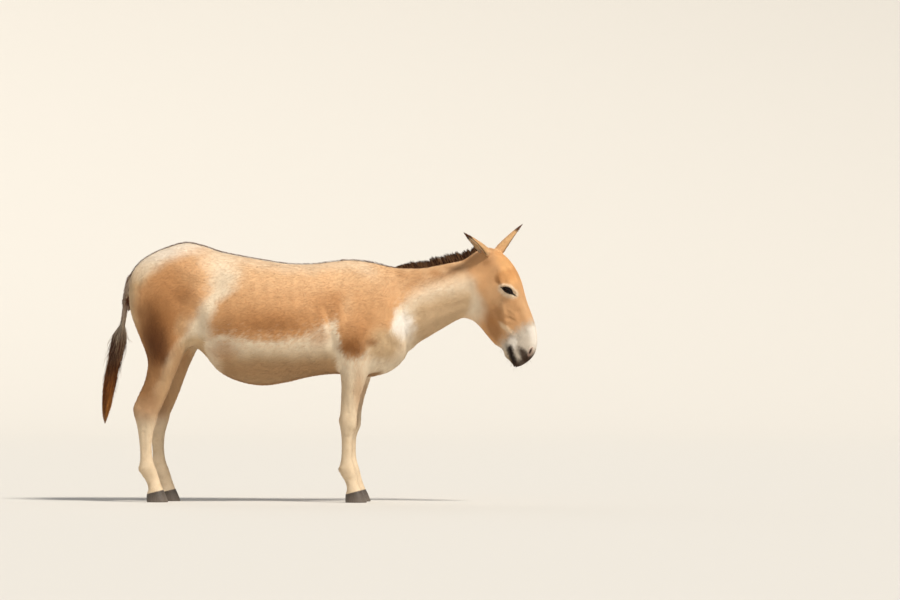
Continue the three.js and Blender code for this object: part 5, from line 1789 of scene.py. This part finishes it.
tone = brown[None] * rng.uniform(0.55, 1.1, MANE_LOCKS)[:, None, None]
edge = (np.abs(off) > 0.82) & (rng.random(MANE_LOCKS) < 0.55)
tone[edge] = tone[edge] * 0.45 + 0.55 * pale_side
mane_hair = locks("mane_hair", paths, tapered(rng.uniform(0.8, 1.5, MANE_LOCKS), STEPS), tone,
                  np.stack([s_at, off], axis=1))

# %% The tail
TAIL_LOCKS, STEPS, CLUMPS = 2100, 12, 46
LOWEST_END, ENDS_OVER = 396, 270  # mm: the longest clump's end, and how much higher the others end
HIGHEST_ROOT, ROOTS_OVER = 985, 290  # mm: the first hair on the dock, and how far down the last one grows
clump = rng.integers(0, CLUMPS, TAIL_LOCKS)
clump_turn, clump_r = 2 * np.pi * rng.random(CLUMPS), rng.random(CLUMPS) ** 0.5
clump_end = LOWEST_END + ENDS_OVER * rng.random(CLUMPS) ** 1.6
start_z = HIGHEST_ROOT - ROOTS_OVER * rng.random(TAIL_LOCKS) ** 0.55
end_z = np.minimum(clump_end[clump] + rng.normal(0, 22, TAIL_LOCKS), start_z - 120).clip(390)
turn = clump_turn[clump] + rng.normal(0, 0.5, TAIL_LOCKS)
r = np.clip(clump_r[clump] + rng.normal(0, 0.25, TAIL_LOCKS), 0, 1)
loose = rng.random(TAIL_LOCKS) < 0.15  # short locks that stand off, and make the outline ragged
start_z = np.where(loose, rng.uniform(600, 912, TAIL_LOCKS), start_z)
end_z = np.where(loose, start_z - rng.uniform(60, 180, TAIL_LOCKS), end_z)
r = np.where(loose, rng.uniform(0.85, 1, TAIL_LOCKS), r)
t = np.linspace(0, 1, STEPS)[None]
z = start_z[:, None] + (end_z - start_z)[:, None] * t
middle_x, deep, wide = columns_by_height(TUFT, z)
own = np.stack([r * np.cos(turn), r * np.sin(turn)], axis=1)[:, None]
shared = (clump_r * np.stack([np.cos(clump_turn), np.sin(clump_turn)])).T[clump][:, None]
gather = (0.85 * fade(t, 0.1, 0.85))[..., None] * ~loose[:, None, None]
place = own * (1 - gather) + shared * gather
stand_off = (loose * rng.uniform(0.2, 0.75, TAIL_LOCKS))[:, None] * t**1.5 - 0.4 * fade(t, 0.15, 0)
place = place * (1 + stand_off)[..., None]
phase = 6 * rng.random((2, CLUMPS, 1))[:, clump]
wave = np.stack([np.sin(6 * t + phase[0]), np.sin(8 * t + phase[1])], axis=2) * 0.26 * t[..., None]
strays = rng.normal(0, 0.26, (TAIL_LOCKS, 1, 2)) * t[..., None] ** 2
lying = 0.9 * fade(z, 930, 850)[..., None] + 0.1  # above the tuft the hair lies on the dock
place = (place + wave + strays) * lying
dock_x, dock_deep, dock_wide = columns_by_height(DOCK, z)
on_dock = fade(z, 870, 930)
rooted = 0.6 + 0.42 * fade(t, 0, 0.12)  # each lock starts under the skin
hug_x = dock_x + rooted * np.cos(turn)[:, None] * dock_deep
hug_y = rooted * np.sin(turn)[:, None] * dock_wide
loose_x, loose_y = middle_x + place[..., 0] * (deep - 1), place[..., 1] * (wide - 1)
paths = [loose_x * (1 - on_dock) + hug_x * on_dock, loose_y * (1 - on_dock) + hug_y * on_dock, z]
paths = np.stack(paths, axis=2)
TONES_AT = (430, 560, 680, 790, 880)  # heights of the colours below
# Towards the tuft's end both run to orange: reddish hair, lightened there by painted highlight.
DARK_HAIR = ("#9c5a22", "#804822", "#57301a", "#5f3a28", "#6b4836")
PALE_HAIR = ("#eaa65a", "#d08440", "#a5744b", "#dfc4a4", "#f2e2cc")
dark, pale = (between(z, TONES_AT, [colour(code) for code in codes]) for codes in (DARK_HAIR, PALE_HAIR))
front = np.cos(turn) + rng.normal(0, 0.45, TAIL_LOCKS) > -0.25  # the dark stripe runs on behind the dock
is_pale = np.where(start_z > 890, front, rng.random(CLUMPS)[clump] < 0.62) * rng.uniform(0.3, 1, TAIL_LOCKS)
is_pale = (is_pale[:, None] + (1 - is_pale[:, None]) * 0.6 * fade(z, 800, 860))[..., None]
tone = (dark + (pale - dark) * is_pale) * rng.uniform(0.7, 1.15, CLUMPS)[clump][:, None, None]
tone = tone * rng.uniform(0.75, 1.2, TAIL_LOCKS)[:, None, None]
tail_hair = locks("tail_hair", paths, tapered(rng.uniform(0.7, 1.5, TAIL_LOCKS), STEPS), tone,
                  np.stack([turn, start_z], axis=1))

# %% Hair in the ears
EAR_LOCKS, STEPS = 420, 5
ear_hair = []
for name, ear in EARS.items():
    t_at = rng.uniform(0.06, 0.8, EAR_LOCKS)
    side_of = np.where(rng.random(EAR_LOCKS) < 0.5, -1, 1)
    across = side_of * rng.uniform(0.55, 0.97, EAR_LOCKS)
    root = ear.at(t_at, across, 3.4 + 0 * t_at)
    bend = ear.arc(t_at)[2]
    inwards = unit((ear.root + (t_at * ear.length)[:, None] * ear.axis + bend[:, None] * ear.front) - root)
    way = unit(0.75 * ear.axis + 0.5 * inwards + 0.3 * ear.front + rng.normal(0, 0.12, (EAR_LOCKS, 3)))
    long = rng.uniform(12, 26, EAR_LOCKS) * (1 - 0.5 * t_at)
    paths = bent(root, way, long, rng.normal(0, 0.1, (EAR_LOCKS, 3)) + 0.2 * ear.axis, STEPS)
    pales = between(np.linspace(0, 1, STEPS), (0, 0.4, 1), [SAND, CREAM, WHITE])
    tone = np.repeat(pales[None], EAR_LOCKS, axis=0)
    tone[t_at > 0.7] *= 0.25
    tone *= rng.uniform(0.75, 1.1, EAR_LOCKS)[:, None, None]
    ear_hair.append(locks("ear_hair_" + name, paths, tapered(rng.uniform(0.35, 0.6, EAR_LOCKS), STEPS), tone,
                          np.stack([t_at, across], axis=1)))

# %% Lashes and whiskers
def upper_lid(a):
    """Places on the upper lid's rim: along the head, up it, and outwards as the lid lies on the eyeball."""
    u, v = slit_point(a, EYE_SLIT["upper"] * (1 - (a / EYE_SLIT["half"]) ** 2), EYE_SLIT)
    bulge = (EYE_RADIUS + 1.5) ** 2 - (u - EYE_AT[0]) ** 2 - (v - EYE_AT[1]) ** 2
    return u, v, EYE_AT[2] + np.sqrt(np.maximum(bulge, 60))


LASHES, STEPS = 120, 6
lash_pieces = []
for name, side in SIDES.items():
    a = rng.uniform(-17, 20, LASHES)
    u, v, w = upper_lid(a)
    root = head.world(np.stack([u, v, side * w], axis=1))
    fan = (a / 30)[:, None]
    stray = rng.normal(0, 0.07, (LASHES, 3))
    way = unit(side * head.out + 0.16 * head.up + (0.5 * fan + 0.25) * head.along + stray)
    bend = -0.42 * head.up + 0.14 * head.along + rng.normal(0, 0.05, (LASHES, 3))
    paths = bent(root, way, rng.uniform(11, 18, LASHES), bend, STEPS)
    tone = np.tile(BLACKISH, (LASHES, STEPS, 1)) * 0.8
    lash_pieces.append(locks("lashes_" + name, paths, tapered(rng.uniform(0.28, 0.42, LASHES), STEPS), tone,
                             np.stack([a, rng.random(LASHES)], axis=1)))

WHISKERS = 110
muzzle, normals = places_of(skin.data), normals_of(skin.data)
u, v, w = head.local(muzzle).T
likely = on_head(muzzle) & (u > 470) & (v < 20) & (np.abs(w) > 6) & (u < 590)
picked = rng.choice(np.flatnonzero(likely), WHISKERS, replace=False)
way = unit(normals[picked] + 0.35 * head.along - 0.35 * head.up + rng.normal(0, 0.2, (WHISKERS, 3)))
length, bend = rng.uniform(12, 30, WHISKERS), rng.normal(0, 0.1, (WHISKERS, 3))
paths = bent(muzzle[picked], way, length, bend, STEPS)
tone = np.tile(BLACKISH, (WHISKERS, STEPS, 1)) * 1.6
whiskers = locks("whiskers", paths, tapered(rng.uniform(0.18, 0.28, WHISKERS), STEPS), tone,
                 np.stack([u[picked], v[picked]], axis=1))

# %% [markdown]
# ## Materials
# Each finish reads the colours that were worked out point by point, so that no image is needed, and adds
# what is too fine for the mesh: the grain of lying hair, the horn's rings, the eye's wet gloss.

# %% Helpers for nodes
def fill(material, into, inputs):
    """Fills a node's sockets, each with a number, a colour or a link from another node."""
    for key, value in inputs.items():
        if isinstance(value, bpy.types.NodeSocket):
            material.node_tree.links.new(value, into.inputs[key])
        else:
            into.inputs[key].default_value = value


def node(material, kind, inputs, **settings):
    """Adds a node, sets its properties and fills its sockets. Returns the first of its outputs."""
    added = material.node_tree.nodes.new("ShaderNode" + kind)
    for key, value in settings.items():
        setattr(added, key, value)
    fill(material, added, inputs)
    return added.outputs[0]


def stored(material, name, kind):
    """What was worked out at each point of the mesh and kept under a name: its Color, Vector or Fac."""
    added = material.node_tree.nodes.new("ShaderNodeAttribute")
    added.attribute_name = name
    return added.outputs[kind]


def rgba(c):
    return (*c, 1)


def new_material(name, shown):
    """A material with an empty Principled surface. Returns it with its shader."""
    material = bpy.data.materials.new(name)
    material.use_nodes = True
    material.diffuse_color = rgba(shown)
    return material, material.node_tree.nodes["Principled BSDF"]


def own_place(material):
    return material.node_tree.nodes.new("ShaderNodeTexCoord").outputs["Object"]


def times_range(material, source, value, low, high):
    """The colour times a value that is stretched from 0.3...0.7 to low...high."""
    ends = {"From Min": 0.3, "From Max": 0.7, "To Min": low, "To Max": high}
    level = node(material, "MapRange", {"Value": value, **ends})
    return node(material, "VectorMath", {0: source, 1: level}, operation="MULTIPLY")


def coat_material(name, shown, blotches, inputs):
    """A material in the painted colours, with blotches: each 1/scale metres across, from low to high."""
    material, surface = new_material(name, shown)
    look = stored(material, "Coat", "Color")
    for scale, low, high in blotches:
        noise = node(material, "TexNoise", {"Vector": own_place(material), "Scale": scale, "Detail": 3})
        look = times_range(material, look, noise, low, high)
    fill(material, surface, {"Base Color": look, **inputs})
    return material, surface


# %% Skin under flat summer hair
skin_finish, surface = coat_material("skin_with_short_hair", FAWN, ((18, 0.94, 1.04), (320, 0.92, 1.05)), {
    "Specular IOR Level": 0.18, "Sheen Weight": 0.10, "Sheen Tint": rgba(FAWN), "Sheen Roughness": 0.45,
})
grain, bare = stored(skin_finish, "Grain", "Vector"), stored(skin_finish, "Bare", "Fac")
lying = node(skin_finish, "Mapping", {"Vector": grain, "Scale": (0.16, 1, 1)})
strands = node(skin_finish, "TexNoise", {"Vector": lying, "Scale": 0.9, "Detail": 4})
hairy_only = node(skin_finish, "MapRange", {"Value": bare, "To Min": 0.32, "To Max": 0.08})
raised = node(skin_finish, "Bump", {"Height": strands, "Strength": hairy_only, "Distance": 0.0012})
pores = node(skin_finish, "TexVoronoi", {"Vector": grain, "Scale": 0.8})
fine = {"Height": pores, "Strength": 0.12, "Distance": 0.0006, "Normal": raised}
shine = node(skin_finish, "MapRange", {"Value": bare, "To Min": 0.74, "To Max": 0.40})
fill(skin_finish, surface, {"Normal": node(skin_finish, "Bump", fine), "Roughness": shine})
print(skin_finish.name, "has", len(skin_finish.node_tree.nodes), "nodes")

# %% Hair and wet eye
short_hair, _ = coat_material("summer_coat_hair", FAWN, ((18, 0.94, 1.04), (700, 0.94, 1.05)), {
    "Roughness": 0.62, "Specular IOR Level": 0.18, "Sheen Weight": 0.12, "Sheen Tint": rgba(FAWN),
    "Sheen Roughness": 0.4,
})
long_hair, _ = coat_material("mane_and_tail_hair", STRIPE, ((260, 0.75, 1.2),), {
    "Roughness": 0.52, "Specular IOR Level": 0.22,
})
wet_eye, _ = coat_material("wet_dark_eye", colour("#1d0f08"), ((900, 0.85, 1.15),), {
    "Roughness": 0.10, "Coat Weight": 0.12, "Coat Roughness": 0.02, "Specular IOR Level": 0.12,
})

# %% Hoof horn
horn, surface = new_material("hoof_horn", colour("#4d443d"))
growth, place = stored(horn, "Growth", "Fac"), own_place(horn)
stretch = node(horn, "Mapping", {"Vector": place, "Scale": (1, 1, 0.08)})
streaks = node(horn, "TexNoise", {"Vector": stretch, "Scale": 420, "Detail": 3})
ramp = horn.node_tree.nodes.new("ShaderNodeValToRGB")
fill(horn, ramp, {"Fac": growth})
stops = ramp.color_ramp.elements
stops[1].position = 0.93
stops.new(1.0)
for stop, code in zip(stops, ("#6b6056", "#4a4038", "#8c7c6a")):
    stop.color = rgba(colour(code))
look = times_range(horn, ramp.outputs["Color"], streaks, 0.72, 1.15)
RINGS, RING_WAVER = 95, 0.2  # radians from sole to coronet, and how far the rings waver
waver = node(horn, "TexNoise", {"Vector": place, "Scale": 25})
level = node(horn, "Math", {0: waver, 1: RING_WAVER, 2: growth}, operation="MULTIPLY_ADD")
level = node(horn, "Math", {0: level, 1: RINGS}, operation="MULTIPLY")
rings = node(horn, "Math", {0: level}, operation="SINE")
raised = node(horn, "Bump", {"Height": rings, "Strength": 0.3, "Distance": 0.0005})
fill(horn, surface, {"Base Color": look, "Normal": raised, "Roughness": 0.55})
print("finishes:", [finish.name for finish in (skin_finish, short_hair, long_hair, wet_eye, horn)])

# %% [markdown]
# ## Handing over to the frame
# Nothing moves, so every piece rides on the one body. The skin stands for all the flesh, the horn for the
# hooves, the hair for the mane and the tail's tuft, and the solids they stand for are hidden.

# %% Pieces and finishes
dressed = []


def given(piece, finish, slot, *stands_for):
    """Gives a piece its finish, lets it ride on the body, and hides the nodes it stands for. The slot is not
    used.
    """
    dressed.append(piece.name)
    piece.data.materials.clear()
    piece.data.materials.append(finish)
    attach(piece, "root")
    if stands_for:
        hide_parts(*stands_for)


flesh = ["trunk", "neck", "head", "tail", "ear_left", "ear_right"]
flesh += [kind + side for kind in ("forearm_", "fore_cannon_", "thigh_", "hind_cannon_") for side in SIDES]
given(skin, skin_finish, "coat", *flesh)
for piece in coat.values():
    given(piece, short_hair, "coat")
for piece in hooves.values():
    given(piece, horn, "hoof", piece.name.replace("_horn", ""))
for name, piece in eyeballs.items():
    given(piece, wet_eye, "eye", "eye_" + name)
given(mane_hair, long_hair, "long_hair", "mane")
given(tail_hair, long_hair, "long_hair", "tail_tuft")
for piece in ear_hair:
    given(piece, short_hair, "pale_coat")
for piece in lash_pieces + [whiskers]:
    given(piece, long_hair, "long_hair")
print("pieces:", len(dressed))

# %% [markdown]
# ## Studio
# Such a model is best shown on a pale sweep. The sweep here runs all the way round, a very wide bowl, so
# that the model can be looked at from any side. One soft light comes from high in front. Area lamps would
# give the same near by, but this one is even all over the floor. The pale room fills the shadows.

# %% The sweep
def sweep(flat=24, wide=16, high=14, rows=40, columns=96):
    """A profile carried round: level for `flat` metres, then a quarter of an ellipse up to a wall."""
    a = np.linspace(0, np.pi / 2, rows)
    out = np.concatenate([[0.01, 4, 12], flat + wide * np.sin(a)])
    up = np.concatenate([[0, 0, 0], high * (1 - np.cos(a))])
    turn = turns(columns)
    out, up = out[:, None], up[:, None]
    grid = np.stack([out * np.cos(turn), out * np.sin(turn), up + 0 * turn], axis=2)
    mesh = bpy.data.meshes.new("sweep")
    faces = grid_faces(len(out), columns, flip=True)[:-2]
    mesh.from_pydata(grid.reshape(-1, 3).tolist(), [], faces + [list(range(columns))])
    shaded_smooth(mesh)
    return in_scene("studio_sweep", mesh)


floor = sweep()
PAPER = colour("#d2cec7")
paper, surface = new_material("matt_paper", PAPER)
fill(paper, surface, {"Base Color": rgba(PAPER), "Roughness": 0.95, "Specular IOR Level": 0.1})
floor.data.materials.append(paper)
print("floor:", len(floor.data.polygons), "faces")

# %% Lights
def soft_light(name, comes_from, strength, spread, tint):
    """An even light from far away in one direction; its spread in degrees softens the shadows."""
    light = in_scene(name, bpy.data.lights.new(name, "SUN"))
    light.rotation_euler = Vector(comes_from).to_track_quat("Z", "Y").to_euler()
    light.data.energy, light.data.angle = strength, np.radians(spread)
    light.data.color = tint


soft_light("main_light", (0.46, -0.36, 0.82), 3.7, 12, (1.0, 0.95, 0.87))
soft_light("back_light", (-0.5, 0.7, 0.5), 0.5, 40, (0.93, 0.96, 1.0))
world = bpy.data.worlds.new("pale_room")
world.use_nodes = True
fill(world, world.node_tree.nodes["Background"], {"Color": (0.86, 0.90, 0.96, 1), "Strength": 0.37})
bpy.context.scene.world = world
bpy.context.scene.view_settings.view_transform = "Standard"

# %% Camera
CAMERA_AT, LOOKS_AT = (2114.8, -19946.3, 600), (650, 0, 1010)  # millimetres in her own frame
camera = in_scene("camera", bpy.data.cameras.new("camera"))
camera.location = metres(CAMERA_AT)
towards = Vector(metres(LOOKS_AT)) - camera.location
camera.rotation_euler = towards.to_track_quat("-Z", "Y").to_euler()
camera.data.lens, camera.data.sensor_width = 160, 36
camera.data.clip_end = 200
bpy.context.scene.camera = camera
print("camera", round(towards.length, 2), "m away,", round(float(camera.location.z), 2), "m above the floor")
